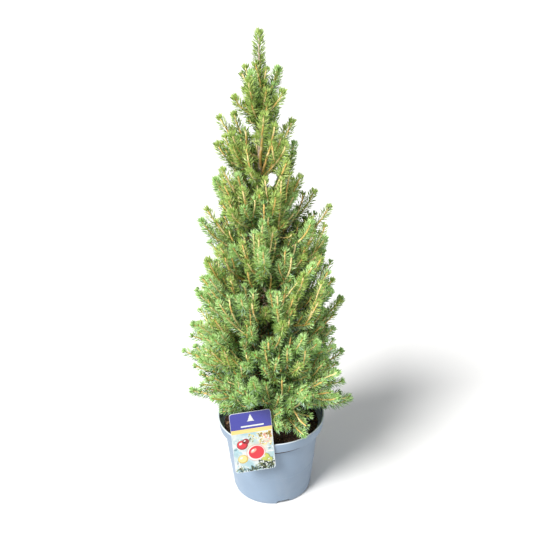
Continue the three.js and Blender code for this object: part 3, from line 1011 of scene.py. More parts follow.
def make_twigs(settings):
    crown = grown_crown()
    rng = np.random.default_rng(crown.shoots.seed + 1)
    gathered = {group: Gathering() for group in TIER_GROUPS}
    young, pale, old, bud = range(4)
    for stem in crown.stems:
        target = gathered[group_of(stem.tier)]
        points, faces = bud_shape(stem.path[-1], unit(stem.path[-1] - stem.path[-2]), BUD_SIZE)
        target.add(points, faces, bud)
        if not stem.has_wood:
            continue
        wobble = rng.normal(0, 0.35 * MM, stem.path.shape)
        wobble[0] = wobble[-1] = 0
        points, faces = tube(stem.path + wobble, stem.radii, STEM_SIDES)
        run = run_along(stem.path)
        from_tip = run[-1] - run
        segment = np.arange(len(faces)) % (STEM_SIDES * (len(stem.path) - 1)) // STEM_SIDES
        distance = from_tip[np.minimum(segment, len(from_tip) - 1)]
        # Each stretch of young stem takes, at random, either its own colour or its painted sunlit copy.
        painted_sunlit_or_young = np.where(rng.random(len(stem.path)) < 0.5, pale, young)
        light = painted_sunlit_or_young[np.minimum(segment, len(stem.path) - 1)]
        tints = np.where(distance < 1.35 * stem.leafy, light, old)
        target.add(points, faces, tints)
    finishes = [
        plain_finish("young stem", settings.young, 0.55, specular=0.35),
        plain_finish("pale stem", settings.pale, 0.55, specular=0.35),
        plain_finish("old stem", settings.old, 0.8, specular=0.2),
        plain_finish("bud", settings.bud, 0.45, specular=0.4),
    ]
    for group, shape in gathered.items():
        show(shape.mesh(f"twigs_{group}", True), finishes)


# ---- Needles ----

TUFT = 16  # needles crowded round a usual shoot's bud
SPINDLE = np.array([[0, 2, 1], [0, 3, 2], [0, 1, 3], [4, 1, 2], [4, 2, 3], [4, 3, 1]])  # a needle's faces


def needles_of(stem, shoots, density, rng):
    """Base, direction, bend, length and tint of every needle on one stem."""
    run = run_along(stem.path)
    total = run[-1]
    dense = min(stem.leafy, total - 2 * MM)
    thin = min(stem.leafy * 1.1, max(0.0, total - dense - 6 * MM))
    dense_count = int(dense * density * stem.fullness)
    thin_count = int(thin * density * 0.45)
    tuft_count = int(TUFT * stem.fullness)
    from_tip = np.concatenate([
        np.linspace(1.5 * MM, dense, dense_count),
        dense + np.linspace(0, thin, thin_count + 1)[1:],
        rng.uniform(0, 2.5 * MM, tuft_count),
    ])
    count = len(from_tip)
    is_tuft = np.arange(count) >= count - tuft_count
    at = np.clip(total - from_tip, 0, total)
    tangents_on_path = unit(np.gradient(stem.path, axis=0))
    base = np.stack([np.interp(at, run, stem.path[:, k]) for k in range(3)], axis=1)
    tangent = unit(np.stack([np.interp(at, run, tangents_on_path[:, k]) for k in range(3)], axis=1))
    radius = np.interp(at, run, stem.radii)
    crossing = [0.31, 0.17, 0.93] if abs(tangent[0][2]) < 0.9 else [1.0, 0.1, 0]
    side = unit(np.cross(tangent, np.array(crossing)))
    across = np.cross(tangent, side)
    turn = np.arange(count) * GOLDEN_ANGLE + rng.normal(0, 0.25, count) + rng.uniform(0, 6.28)
    outward = np.cos(turn)[:, None] * side + np.sin(turn)[:, None] * across
    opening = np.interp(from_tip, [0, 5 * MM, 16 * MM, 60 * MM], [30, 45, 59, 67]) + rng.normal(0, 8, count)
    opening[is_tuft] = rng.uniform(6, 52, tuft_count)
    opening = np.radians(opening)
    direction = np.cos(opening)[:, None] * tangent + np.sin(opening)[:, None] * outward
    direction = unit(direction + 0.13 * UP)
    size = np.interp(from_tip, [0, 6 * MM, 25 * MM, 60 * MM, 100 * MM], [0.78, 0.92, 1.05, 0.98, 0.85])
    size = shoots.needle * (0.88 + 0.12 * stem.fullness) * size * rng.uniform(0.84, 1.12, count)
    size[is_tuft] *= rng.uniform(0.72, 0.95, tuft_count)
    bend = unit(direction - tangent * np.einsum("ij,ij->i", direction, tangent)[:, None])
    # Needles near the tip are lighter as new growth. Further back they are darker, partly as older needles
    # and partly as painted shade inside the shoot. Needles that point up are painted lighter, as if lit from
    # above.
    tone = stem.tone + np.interp(from_tip, [0, 8 * MM, 30 * MM, 90 * MM], [0.13, 0.06, 0.0, -0.26])
    tone = tone + 0.12 * direction[:, 2] + rng.normal(0, 0.25, count)
    tint = np.clip((tone * LIGHTNESS_STEPS).astype(int), 0, LIGHTNESS_STEPS - 1)
    chance = rng.random(count)
    tint[(direction[:, 2] < 0.05) & (chance < 0.28)] = GLAUCOUS
    # Stems low in the crown mostly take the greens in painted shade; those high up mostly take the greens in
    # painted sunlight.
    painted_shade_chance = np.clip((0.85 - crown_share(stem.path[-1][2])) / 0.75, 0.08, 0.95)
    if rng.random() < painted_shade_chance:
        tint += len(GREENS)
    tint[(from_tip > dense) & (chance > 0.985)] = DRY
    return base + outward * radius[:, None] * 0.8, direction, bend, size, tint


def near_card(points, label, margin):
    """Which points are in front of the label's card, or nearer to it than the margin."""
    centre, right, up, front = label_axes(label)
    local = points - centre
    beside = np.abs(local @ right) < label.width / 2 + margin
    level = np.abs(local @ up) < label.height / 2 + margin
    return beside & level & (local @ front > -margin)


def clear_of_hard_parts(base, tip, label):
    """Which needles keep out of the label's card, the pot's wall and the soil."""
    clear = np.ones(len(base), dtype=bool)
    for end in (base, tip, (base + tip) / 2):
        radius = np.linalg.norm(end[:, :2], axis=1)
        below_rim = end[:, 2] < RIM_HEIGHT + 0.5 * MM
        in_wall = below_rim & (radius > RIM_RADIUS - 5.5 * MM) & (radius < RIM_RADIUS + 1 * MM)
        in_soil = (end[:, 2] < SOIL_LEVEL + 1 * MM) & (radius < RIM_RADIUS)
        clear &= ~(near_card(end, label, NEEDLE_TO_CARD) | in_wall | in_soil)
    clear &= ~in_opening(tip)
    return clear


def needle_mesh(name, base, direction, bend, size, tint, width):
    """Every needle is a slim six-faced spindle, bent a little towards the shoot's tip."""
    side = unit(np.cross(direction, bend))
    belly = base + direction * size[:, None] * 0.42 + bend * size[:, None] * 0.07
    corners_around = []
    for angle in (0.5, 2.6, 4.7):
        corners_around.append(belly + (math.cos(angle) * side + math.sin(angle) * bend) * width[:, None] / 2)
    points = np.stack([base, *corners_around, base + direction * size[:, None]], axis=1).reshape(-1, 3)
    faces = (np.arange(len(base))[:, None, None] * 5 + SPINDLE).reshape(-1, 3)
    return joined_mesh(name, points, faces, np.repeat(tint, len(SPINDLE)), False)


def make_needles(shoots):
    crown = grown_crown()
    label = bpy.context.scene.spruce_label
    planned = sum(min(stem.leafy, len(stem.path) * 5 * MM) * 1.2 * stem.fullness for stem in crown.stems)
    spare = shoots.budget - TUFT * sum(stem.fullness for stem in crown.stems)
    density = min(shoots.density * 100, spare / planned)
    finishes = needle_finishes()
    rng = np.random.default_rng(shoots.seed + 2)
    dealt = {group: [] for group in TIER_GROUPS}
    for stem in crown.stems:
        dealt[group_of(stem.tier)].append(needles_of(stem, shoots, density, rng))
    for group, parts in dealt.items():
        columns = [np.concatenate(column) for column in zip(*parts)]
        base, direction, _, size, _ = columns
        keep = clear_of_hard_parts(base, base + direction * size[:, None], label)
        columns = [column[keep] for column in columns]
        columns.append(shoots.needle_width * rng.uniform(0.8, 1.1, keep.sum()))
        pieces = math.ceil(keep.sum() * len(SPINDLE) / MAX_TRIANGLES)
        for part, rows in enumerate(np.array_split(np.arange(keep.sum()), pieces)):
            name = f"needles_{group}" if pieces == 1 else f"needles_{group}_{part + 1}"
            mesh = needle_mesh(name, *(column[rows] for column in columns))
            nodes = [node for node in MASSES if tier_of(node) in TIER_GROUPS[group]] if part == 0 else []
            show(mesh, finishes, nodes)


# ---- Soil ----

SOIL_DEPTH = 12 * MM  # of the piece that shows
SOIL_TO_POT = 9.2 * MM  # how much the pot narrows from its rim to the soil
SOIL_SEED = 21
CRUMB_SEED = 31
CRUMB_SHARES = (0.50, 0.27, 0.16, 0.07)  # peat, brown, bark, pale


def soil_height(x, y, settings):
    """Height of the compost's uneven top. It lies flatter round the trunk."""
    points = np.stack([x, y, np.zeros_like(x)], axis=1)
    broad = ripple(points, 40 * MM, SOIL_SEED, octaves=2)
    fine = ripple(points, 6 * MM, SOIL_SEED + 1, octaves=2)
    away = np.clip((np.hypot(x, y) - 16 * MM) / (20 * MM), 0, 1)
    heave = settings.heave
    return SOIL_LEVEL - 0.3 * MM + heave * away * (broad + 0.4 * fine) + 0.25 * heave * fine


def soil_radius():
    settings = bpy.context.scene.spruce_pot
    return RIM_RADIUS - settings.wall - SOIL_TO_POT


def make_soil(settings):
    rings, columns = 70, 200
    outer = soil_radius()
    radii = outer * np.linspace(0, 1, rings + 1)[1:]
    angles = np.arange(columns) * 2 * math.pi / columns
    x = (radii[:, None] * np.cos(angles)).ravel()
    y = (radii[:, None] * np.sin(angles)).ravel()
    top = np.stack([x, y, soil_height(x, y, settings)], axis=1)
    edge = top[-columns:].copy()
    edge[:, 2] = SOIL_LEVEL - SOIL_DEPTH
    middle = np.array([[0, 0, SOIL_LEVEL], [0, 0, SOIL_LEVEL - SOIL_DEPTH]])
    points = np.vstack([top, edge, middle])
    mesh = joined_mesh("compost", points, wrapped_faces(rings + 1, columns)[:, ::-1], 0, True)
    show(mesh, [compost_finish(settings)], ["soil"])


def lump(centre, sizes, rng):
    """An uneven pebble of eight points and twelve faces."""
    cube = np.array([[x, y, z] for x in (-1, 1) for y in (-1, 1) for z in (-1, 1)], dtype=float)
    shape = unit(cube) * rng.uniform(0.7, 1.25, (8, 1)) * sizes
    turn = Matrix.Rotation(rng.uniform(0, 6.28), 3, "Z") @ Matrix.Rotation(rng.normal(0, 0.5), 3, "X")
    faces = np.array([
        [0, 1, 3], [0, 3, 2], [4, 6, 7], [4, 7, 5], [0, 4, 5], [0, 5, 1],
        [2, 3, 7], [2, 7, 6], [0, 2, 6], [0, 6, 4], [1, 5, 7], [1, 7, 3],
    ])
    return shape @ np.array(turn).T + centre, faces


def make_crumbs(settings):
    rng = np.random.default_rng(CRUMB_SEED)
    gathered = Gathering()
    outer = soil_radius() - 1 * MM
    for _ in range(settings.crumbs):
        radius = outer * math.sqrt(rng.random())
        angle = rng.uniform(0, 2 * math.pi)
        x, y = radius * math.cos(angle), radius * math.sin(angle)
        if radius < 12 * MM:
            continue
        grain = float(np.clip(rng.lognormal(0.05, 0.5), 0.4, 3.4)) * MM
        is_chip = rng.random() < 0.16
        sizes = grain * (np.array([2.1, 0.9, 0.35]) if is_chip else rng.uniform(0.6, 1.1, 3))
        z = float(soil_height(np.array([x]), np.array([y]), settings)[0]) + 0.25 * sizes[2]
        points, faces = lump(np.array([x, y, z]), sizes, rng)
        gathered.add(points, faces, int(rng.choice(4, p=CRUMB_SHARES)))
    finishes = [
        plain_finish("peat crumb", (0.028, 0.020, 0.016), 0.95, specular=0.15),
        plain_finish("brown crumb", (0.075, 0.045, 0.030), 0.9, specular=0.2),
        plain_finish("bark chip", (0.150, 0.068, 0.038), 0.8, specular=0.25),
        plain_finish("pale chip", (0.26, 0.16, 0.095), 0.8, specular=0.25),
    ]
    show(gathered.mesh("compost_crumbs", False), finishes)


# ---- Pot ----

POT_COLUMNS = 240
NOTCHES = 4
FIRST_NOTCH = math.radians(-75)
NOTCH_DEPTH = 12 * MM
POT_CREASE = math.radians(32)  # sharper edges than this stay sharp


def arc(centre, radius, start, end, steps):
    """Points on an arc in degrees, as [radius from the axis, height]."""
    angles = np.radians(np.linspace(start, end, steps))
    return [(centre[0] + radius * math.cos(a), centre[1] + radius * math.sin(a)) for a in angles]


def pot_base_radius():
    points, _ = node_shape("pot")
    return np.linalg.norm(points[points[:, 2] < 1 * MM][:, :2], axis=1).max()


def pot_profile(settings):
    """Half section of the pot from the middle of its underside, up the outside and down the inside."""
    base = pot_base_radius()
    shoulder = RIM_HEIGHT - settings.collar
    collar_foot = RIM_RADIUS - 2.5 * MM
    body_top = RIM_RADIUS - 10.5 * MM
    wall, rounding = settings.wall, settings.foot_round
    slope = (body_top - base) / shoulder
    recess = settings.foot_height + 1 * MM
    profile = [(0, 2 * MM), (base - 24 * MM, 2 * MM), (base - 20 * MM, recess), (base - 4.5 * MM, recess)]
    profile += [(base - 3.5 * MM, 0.4 * MM), (base - 3 * MM, 0)]
    profile += arc((base - rounding, rounding), rounding, -84, -6, 6)
    below, beside = np.arange(6, 57, 3.0), np.arange(57, 62, 0.5)
    above = np.arange(62, shoulder / MM - 5, 4.0)
    for level in np.concatenate([below, beside, above]):  # in millimetres, closer together at the mould line
        seam = 0.48 * math.exp(-(((level - 59) / 0.8) ** 2)) - 0.35 * math.exp(-(((level - 18) / 1.6) ** 2))
        profile.append((base + slope * level * MM + seam * MM, level * MM))
    profile += arc((body_top + 1.6 * MM, shoulder - 2.6 * MM), 1.6 * MM, 180, 90, 5)
    profile += arc((collar_foot - 1.2 * MM, shoulder + 0.2 * MM), 1.2 * MM, -90, 0, 5)
    profile += [(collar_foot + 1.1 * MM, shoulder + 0.5 * settings.collar)]
    profile += arc((RIM_RADIUS - 1.5 * MM, RIM_HEIGHT - 1.5 * MM), 1.5 * MM, 10, 170, 9)
    inner = RIM_RADIUS - 3.0 * MM
    profile += [(inner, RIM_HEIGHT - 3 * MM), (inner - 1.6 * MM, shoulder + wall + 1.5 * MM)]
    profile += [(inner - 3.0 * MM, shoulder + wall), (body_top - wall, shoulder + wall - 1 * MM)]
    floor = recess + wall
    profile += [(base - wall, floor), (base - 21 * MM, floor), (base - 25 * MM, 4 * MM), (0, 4 * MM)]
    return profile


def notch_cutter(settings):
    """Wide shallow wedges round the foot."""
    top = settings.foot_height / MM
    foot = np.array([[-15, -1], [15, -1], [11, top], [-10, top]]) * MM
    gathered = Gathering()
    base = pot_base_radius()
    for order in range(NOTCHES):
        body, faces = slab(foot, NOTCH_DEPTH)
        solid = np.column_stack([body[:, 2] + base + 6 * MM, body[:, 0], body[:, 1]])
        turn = np.array(Matrix.Rotation(FIRST_NOTCH + 2 * math.pi * order / NOTCHES, 3, "Z"))
        gathered.add(solid @ turn.T, faces, 0)
    cutter = bpy.data.objects.new("notch cutter", gathered.mesh("notch cutter", False))
    bpy.context.scene.collection.objects.link(cutter)
    return cutter


def turned_mesh(name, profile, columns):
    """A closed turned shape of triangles."""
    inner = [p for p in profile if p[0] > 1e-6]
    angles = np.arange(columns) * 2 * math.pi / columns
    ring = np.stack([np.cos(angles), np.sin(angles)], axis=1)
    points = [np.column_stack([ring * r, np.full(columns, z)]) for r, z in inner]
    points = np.vstack(points + [[[0, 0, profile[0][1]]], [[0, 0, profile[-1][1]]]])
    return joined_mesh(name, points, wrapped_faces(len(inner), columns), 0, True)


def make_pot(settings):
    mesh = turned_mesh("nursery_pot", pot_profile(settings), POT_COLUMNS)
    pot = show(mesh, [plastic_finish(settings)], ["pot"])
    cutter = notch_cutter(settings)
    cut = pot.modifiers.new("notches", "BOOLEAN")
    cut.operation = "DIFFERENCE"
    cut.solver = "EXACT"
    cut.object = cutter
    apply_modifiers(pot)
    bpy.data.objects.remove(cutter)
    pot.data.shade_smooth()
    pot.data.set_sharp_from_angle(angle=POT_CREASE)


def apply_modifiers(piece):
    """Bakes a piece's modifiers into its mesh."""
    depsgraph = bpy.context.evaluated_depsgraph_get()
    finished = bpy.data.meshes.new_from_object(piece.evaluated_get(depsgraph), depsgraph=depsgraph)
    old = piece.data
    piece.modifiers.clear()
    piece.data = finished
    finished.name = old.name
    bpy.data.meshes.remove(old)


# ---- Label ----


def label_axes(settings):
    """The card's centre, its right and up directions, and the way its picture faces."""
    centre = (LABEL_LOW + LABEL_HIGH) / 2
    nearest = settings.width * math.cos(settings.turn) + settings.height * math.sin(settings.turn)
    centre[1] = LABEL_LOW[1] + 0.5 * nearest * math.sin(settings.swing)  # its left edge is nearest the front
    place = Matrix.Rotation(settings.swing, 3, "Z") @ Matrix.Rotation(settings.tip_back, 3, "X")
    place = np.array(place @ Matrix.Rotation(-settings.turn, 3, "Y"))
    return centre, place @ [1, 0, 0], place @ [0, 0, 1], place @ [0, -1, 0]


def slab(outline, depth):
    """A closed prism from a flat outline of [right, up] points; it reaches back from the front face."""
    count = len(outline)
    front = np.column_stack([outline, np.zeros(count)])
    rear = np.column_stack([outline, np.full(count, -depth)])
    middle = np.vstack([[*outline.mean(axis=0), 0], [*outline.mean(axis=0), -depth]])
    around = np.arange(count)
    ahead = (around + 1) % count
    faces = np.vstack([
        np.stack([around, ahead, np.full(count, 2 * count)], axis=1),
        np.stack([ahead + count, around + count, np.full(count, 2 * count + 1)], axis=1),
        np.stack([around, around + count, ahead + count], axis=1),
        np.stack([around, ahead + count, ahead], axis=1),
    ])
    return np.vstack([front, rear, middle]), faces


def rounded_outline(width, height, corner, centre=(0, 0), steps=7):
    """Outline of a rectangle with round corners."""
    x, y = width / 2 - corner, height / 2 - corner
    points = []
    for sign_x, sign_y, start in ((1, -1, -90), (1, 1, 0), (-1, 1, 90), (-1, -1, 180)):
        points += arc((centre[0] + sign_x * x, centre[1] + sign_y * y), corner, start, start + 90, steps)
    return np.array(points)


def band_outline(settings, low, high, inset):
    """The part of the card's outline between two heights, measured up from its middle."""
    width, height = settings.width - 2 * inset, settings.height - 2 * inset
    outline = rounded_outline(width, height, settings.corner - inset, steps=9)
    return np.column_stack([outline[:, 0], np.clip(outline[:, 1], low, high)])


def oval(centre, radius, squash=1.0, turn=0.0, steps=28):
    angles = np.arange(steps) * 2 * math.pi / steps
    x, y = radius * np.cos(angles), radius * squash * np.sin(angles)
    right = centre[0] + x * math.cos(turn) - y * math.sin(turn)
    up = centre[1] + x * math.sin(turn) + y * math.cos(turn)
    return np.column_stack([right, up])


def on_card(points, settings, lift):
    """Puts flat [right, up, out] points on the card, a little proud of its face."""
    centre, right, up, front = label_axes(settings)
    return centre + points[:, :1] * right + points[:, 1:2] * up + (points[:, 2:] + lift) * front


LAYER = 0.035 * MM  # each printed patch stands this much above the one below
PRINT_MARGIN = 0.5 * MM  # bare edge of the card round its print
HEADER_FOOT = 0.225  # share of the card's height, up from its middle
STRIP_FOOT = 0.160
PICTURE_SEED = 77
INKS = {
    "pale": (0.66, 0.68, 0.66),
    "ice": (0.36, 0.55, 0.60),
    "red": (0.60, 0.030, 0.045),
    "deep red": (0.27, 0.022, 0.030),
    "blush": (0.70, 0.34, 0.26),
    "gold": (0.56, 0.40, 0.10),
    "light gold": (0.68, 0.60, 0.25),
    "lime": (0.46, 0.50, 0.10),
    "fir": (0.022, 0.038, 0.034),
    "moss": (0.24, 0.28, 0.12),
}


def scatter(rng, count, across, down, size, squash, inks, layer):
    """Small ovals strewn over a part of the card, given as shares of its width and height."""
    patches = []
    for _ in range(count):
        spot = (rng.uniform(*across), rng.uniform(*down))
        ink = inks[rng.integers(len(inks))]
        patches.append((spot, rng.uniform(*size), rng.uniform(*squash), rng.uniform(0, 3.1), ink, layer))
    return patches


def picture_patches(settings):
    """Flat patches of the printed card, from the lowest layer up: outline, ink, layer."""
    w, h = settings.width, settings.height
    patches = [
        (band_outline(settings, HEADER_FOOT * h, h, PRINT_MARGIN), "header", 1),
        (band_outline(settings, STRIP_FOOT * h, HEADER_FOOT * h, PRINT_MARGIN), "strip", 1),
        (rounded_outline(0.56 * w, 0.024 * h, 1.2 * MM, (0.03 * w, 0.270 * h), 4), "pale", 2),
        (rounded_outline(0.50 * w, 0.010 * h, 0.5 * MM, (0.05 * w, 0.188 * h), 4), "light gold", 2),
    ]
    for tier in range(3):
        half = (0.040 + 0.026 * tier) * w
        top = (0.465 - 0.030 * tier) * h
        foot = top - 0.055 * h
        patches.append((np.array([[-half, foot], [half, foot], [0, top]]), "pale", 2 + tier))

    # Ovals: place as shares of the width from the left and of the height from the top, radius in widths
    rng = np.random.default_rng(PICTURE_SEED)
    spots = []
    for count, across, down, size, squash, inks, layer in (
        (26, (0.04, 0.30), (0.40, 0.95), (0.03, 0.08), (0.3, 0.7), ("ice", "pale"), 2),
        (34, (0.40, 0.72), (0.37, 0.50), (0.015, 0.045), (0.25, 0.6), ("moss", "light gold", "pale"), 2),
        (34, (0.66, 0.97), (0.37, 0.58), (0.02, 0.06), (0.4, 1), ("blush", "light gold", "gold"), 2),
        (10, (0.68, 0.96), (0.40, 0.56), (0.015, 0.03), (0.7, 1), ("pale",), 3),
        (16, (0.60, 0.97), (0.60, 0.70), (0.03, 0.08), (0.2, 0.4), ("pale", "ice"), 3),
        (90, (0.60, 0.97), (0.82, 0.975), (0.03, 0.08), (0.12, 0.3), ("fir", "fir", "moss"), 4),
        (70, (0.05, 0.62), (0.93, 0.985), (0.05, 0.09), (0.08, 0.2), ("fir", "moss", "ice"), 4),
        (11, (0.64, 0.96), (0.84, 0.96), (0.012, 0.024), (0.8, 1), ("pale",), 6),
    ):
        spots += scatter(rng, count, across, down, size, squash, inks, layer)
    for across, down, radius, rim, body in (
        (0.24, 0.53, 0.135, "deep red", "red"),
        (0.33, 0.48, 0.085, "deep red", "deep red"),
        (0.22, 0.77, 0.125, "gold", "light gold"),
        (0.77, 0.79, 0.120, "moss", "lime"),
        (0.87, 0.84, 0.080, "moss", "lime"),
    ):
        spots.append(((across, down), radius, 1.0, 0, rim, 5))
        spots.append(((across - 0.01, down - 0.006), radius * 0.84, 1.0, 0, body, 6))
        spots.append(((across - 0.3 * radius, down - 0.18 * radius), radius * 0.32, 0.7, 0.6, "pale", 8))
    big = (0.55, 0.69)
    spots.append((big, 0.232, 1.0, 0, "blush", 8))
    spots.append((big, 0.220, 1.0, 0, "pale", 9))
    spots.append(((big[0] + 0.012, big[1] - 0.006), 0.190, 1.0, 0, "red", 10))
    spots.append(((big[0] - 0.055, big[1] - 0.040), 0.085, 0.55, 0.6, "blush", 11))
    spots.append(((big[0] - 0.070, big[1] - 0.046), 0.042, 0.55, 0.6, "pale", 12))
    for (across, down), radius, squash, turn, ink, layer in spots:
        patches.append((oval(((across - 0.5) * w, (0.5 - down) * h), radius * w, squash, turn), ink, layer))
    return patches


def icy_finish():
    finish = Finish("icy print", roughness=0.30, specular=0.5)
    clouds = finish.noise(48.0, detail=5.0)
    cold = finish.mix(finish.range(clouds, 0.38, 0.62), (0.34, 0.50, 0.54), (0.66, 0.68, 0.66))
    warm = finish.noise(26.0, detail=3.0)
    finish.base(finish.mix(finish.range(warm, 0.56, 0.70, 0.0, 0.6), cold, (0.62, 0.54, 0.38)))
    return finish.material


def make_label(settings):
    w, h = settings.width, settings.height
    body, faces = slab(rounded_outline(w, h, settings.corner), settings.thickness)
    card = joined_mesh("label_card", on_card(body, settings, 0), faces, 0, False)
    show(card, [plain_finish("white card", (0.66, 0.68, 0.71), 0.32)], ["label"])

    body, faces = slab(band_outline(settings, -h, STRIP_FOOT * h, PRINT_MARGIN), 0.4 * LAYER)
    picture = joined_mesh("label_picture", on_card(body, settings, 0.8 * LAYER), faces, 0, False)
    show(picture, [icy_finish()])

    inks = dict(INKS, header=tuple(settings.header), strip=tuple(settings.strip))
    ink_number = {name: place for place, name in enumerate(inks)}
    print_run = Gathering()
    limit = np.array([w / 2 - PRINT_MARGIN, h / 2 - PRINT_MARGIN])
    for outline, ink, layer in picture_patches(settings):
        trimmed = np.clip(outline, -limit, limit)
        body, faces = slab(trimmed, 0.5 * LAYER)
        print_run.add(on_card(body, settings, (layer + 0.6) * LAYER), faces, ink_number[ink])
    finishes = [plain_finish(f"ink {name}", base, 0.28, specular=0.5) for name, base in inks.items()]
    show(print_run.mesh("label_print", False), finishes)
    make_hook(settings)


HOOK_ASIDE = 9.3 * MM  # from the card's middle to the strip's
HOOK_WIDTH = 14 * MM
HOOK_THICKNESS = 1.1 * MM
HOOK_BEND = 3 * MM


def make_hook(settings):
    """The strip that runs from the card's back over the rim and down to the soil."""
    centre, right, _, front = label_axes(settings)
    middle = centre + HOOK_ASIDE * right
    back = unit(-front * [1, 1, 0])
    inside = LABEL_HIGH[1] - middle[1] - 1.5 * MM
    top = RIM_HEIGHT + 3 * MM
    section = [(settings.thickness + 0.8 * MM, top)]
    section += arc((inside - HOOK_BEND, top - HOOK_BEND), HOOK_BEND, 90, 0, 7)
    section = np.array(section + [(inside, SOIL_LEVEL - 2 * MM)])
    path = middle * [1, 1, 0] + section[:, :1] * back + section[:, 1:] * UP
    across = unit(right * [1, 1, 0])
    normals = np.cross(unit(np.gradient(path, axis=0)), across)
    half, thick = HOOK_WIDTH / 2 * across, HOOK_THICKNESS / 2
    ring = np.stack([
        path - half - normals * thick, path + half - normals * thick,
        path + half + normals * thick, path - half + normals * thick,
    ], axis=1).reshape(-1, 3)
    last = 4 * (len(path) - 1)
    ends = [[0, 2, 1], [0, 3, 2], [last, last + 1, last + 2], [last, last + 2, last + 3]]
    sides = wrapped_faces(len(path), 4)[: 8 * (len(path) - 1)]
    mesh = joined_mesh("label_hook", ring, np.vstack([sides, ends]), 0, False)
    show(mesh, [plain_finish("white strip", (0.78, 0.80, 0.82), 0.35)])


# ---- Stage ----


FLOOR_SIZE = 500.0


def make_stage(settings):
    scene = bpy.context.scene
    scene.view_settings.view_transform = "Standard"
    half = FLOOR_SIZE / 2
    points = np.array([[-half, -half, 0], [half, -half, 0], [half, half, 0], [-half, half, 0]])
    mesh = joined_mesh("floor", points, np.array([[0, 1, 2, 3]]), 0, False)
    floor = bpy.data.objects.new("floor", mesh)
    scene.collection.objects.link(floor)
    mesh.materials.append(plain_finish("pale floor", settings.floor, 0.9, specular=0.1))

    world = bpy.data.worlds.new("soft daylight")
    world.use_nodes = True
    sky = world.node_tree.nodes["Background"]
    sky.inputs["Color"].default_value = (0.96, 0.98, 1.0, 1.0)
    sky.inputs["Strength"].default_value = settings.sky
    scene.world = world

    lamp = bpy.data.lights.new("window", "SUN")
    lamp.energy = settings.sun
    lamp.angle = settings.softness
    lamp.color = (1.0, 0.985, 0.96)
    travel = Vector(level_way(settings.sun_bearing) - math.tan(settings.sun_height) * UP)
    holder = bpy.data.objects.new("window", lamp)
    holder.location = (-1.5, -1.5, 2.0)
    holder.rotation_euler = travel.to_track_quat("-Z", "Y").to_euler()
    scene.collection.objects.link(holder)

    lens = bpy.data.cameras.new("camera")
    lens.lens = settings.lens
    lens.sensor_width = 36.0
    lens.clip_end = 1000.0
    camera = bpy.data.objects.new("camera", lens)
    place = Matrix.Translation((settings.aside, -settings.distance, settings.height))
    tilt = Matrix.Rotation(math.pi / 2 - settings.pitch, 4, "X")
    camera.matrix_world = place @ tilt @ Matrix.Rotation(settings.roll, 4, "Z")
    scene.collection.objects.link(camera)
    scene.camera = camera


# ---- Buttons ----


class SpruceButton:
    """What all the buttons share."""

    bl_options = {"REGISTER", "UNDO"}


class SPRUCE_OT_pot(SpruceButton, bpy.types.Operator):
    """Make the moulded nursery pot with its collar and drain notches"""

    bl_idname = "spruce.pot"
    bl_label = "Pot"

    def execute(self, context):
        make_pot(context.scene.spruce_pot)
        return {"FINISHED"}


class SPRUCE_OT_soil(SpruceButton, bpy.types.Operator):
    """Make the potting compost with its crumbs and bark chips"""

    bl_idname = "spruce.soil"
    bl_label = "Soil"

    def execute(self, context):
        make_soil(context.scene.spruce_soil)
        make_crumbs(context.scene.spruce_soil)
        return {"FINISHED"}


class SPRUCE_OT_label(SpruceButton, bpy.types.Operator):
    """Make the picture label and its hook"""

    bl_idname = "spruce.label"
    bl_label = "Label"

    def execute(self, context):
        make_label(context.scene.spruce_label)
        return {"FINISHED"}


class SPRUCE_OT_trunk(SpruceButton, bpy.types.Operator):
    """Make the trunk with its bark"""

    bl_idname = "spruce.trunk"
    bl_label = "Trunk"

    def execute(self, context):
        make_trunk(context.scene.spruce_bark)
        return {"FINISHED"}


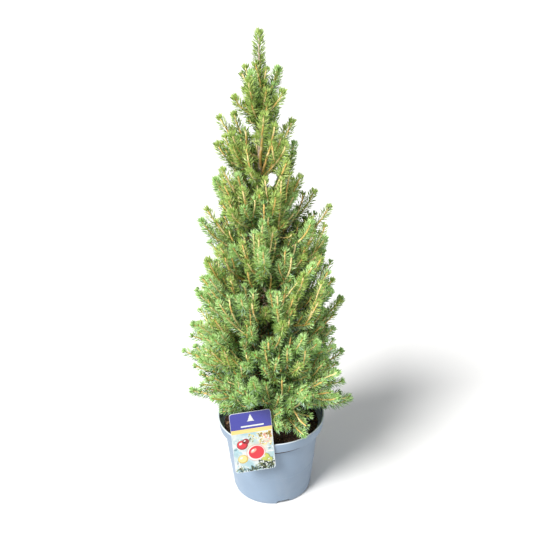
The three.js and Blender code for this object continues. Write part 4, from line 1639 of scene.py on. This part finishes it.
class SPRUCE_OT_boughs(SpruceButton, bpy.types.Operator):
    """Make the main boughs with their bark"""

    bl_idname = "spruce.boughs"
    bl_label = "Boughs"

    def execute(self, context):
        make_boughs(context.scene.spruce_bark)
        return {"FINISHED"}


class SPRUCE_OT_twigs(SpruceButton, bpy.types.Operator):
    """Make the stems and buds of all the shoots"""

    bl_idname = "spruce.twigs"
    bl_label = "Twigs"

    def execute(self, context):
        make_twigs(context.scene.spruce_twigs)
        return {"FINISHED"}


class SPRUCE_OT_needles(SpruceButton, bpy.types.Operator):
    """Make the needles of all the shoots"""

    bl_idname = "spruce.needles"
    bl_label = "Needles"

    def execute(self, context):
        make_needles(context.scene.spruce_shoots)
        return {"FINISHED"}


class SPRUCE_OT_stage(SpruceButton, bpy.types.Operator):
    """Make the floor, the lights and the camera"""

    bl_idname = "spruce.stage"
    bl_label = "Stage"

    def execute(self, context):
        make_stage(context.scene.spruce_stage)
        return {"FINISHED"}


OPERATORS = (
    SPRUCE_OT_pot,
    SPRUCE_OT_soil,
    SPRUCE_OT_label,
    SPRUCE_OT_trunk,
    SPRUCE_OT_boughs,
    SPRUCE_OT_twigs,
    SPRUCE_OT_needles,
    SPRUCE_OT_stage,
)


class SPRUCE_PT_panel(bpy.types.Panel):
    """Lists the pieces of the plant"""

    bl_idname = "SPRUCE_PT_panel"
    bl_label = "Potted Spruce"
    bl_space_type = "VIEW_3D"
    bl_region_type = "UI"
    bl_category = "Spruce"

    def draw(self, context):
        for operator in OPERATORS:
            self.layout.operator(operator.bl_idname)


CLASSES = (*SETTINGS.values(), *OPERATORS, SPRUCE_PT_panel)


def register():
    for one in CLASSES:
        bpy.utils.register_class(one)
    for name, group in SETTINGS.items():
        setattr(bpy.types.Scene, name, PointerProperty(type=group))


def unregister():
    for name in SETTINGS:
        delattr(bpy.types.Scene, name)
    for one in reversed(CLASSES):
        bpy.utils.unregister_class(one)


def main():
    register()
    bpy.ops.spruce.stage()
    bpy.ops.spruce.pot()
    bpy.ops.spruce.soil()
    bpy.ops.spruce.label()
    bpy.ops.spruce.trunk()
    bpy.ops.spruce.boughs()
    bpy.ops.spruce.twigs()
    bpy.ops.spruce.needles()


if __name__ == "__main__":
    main()
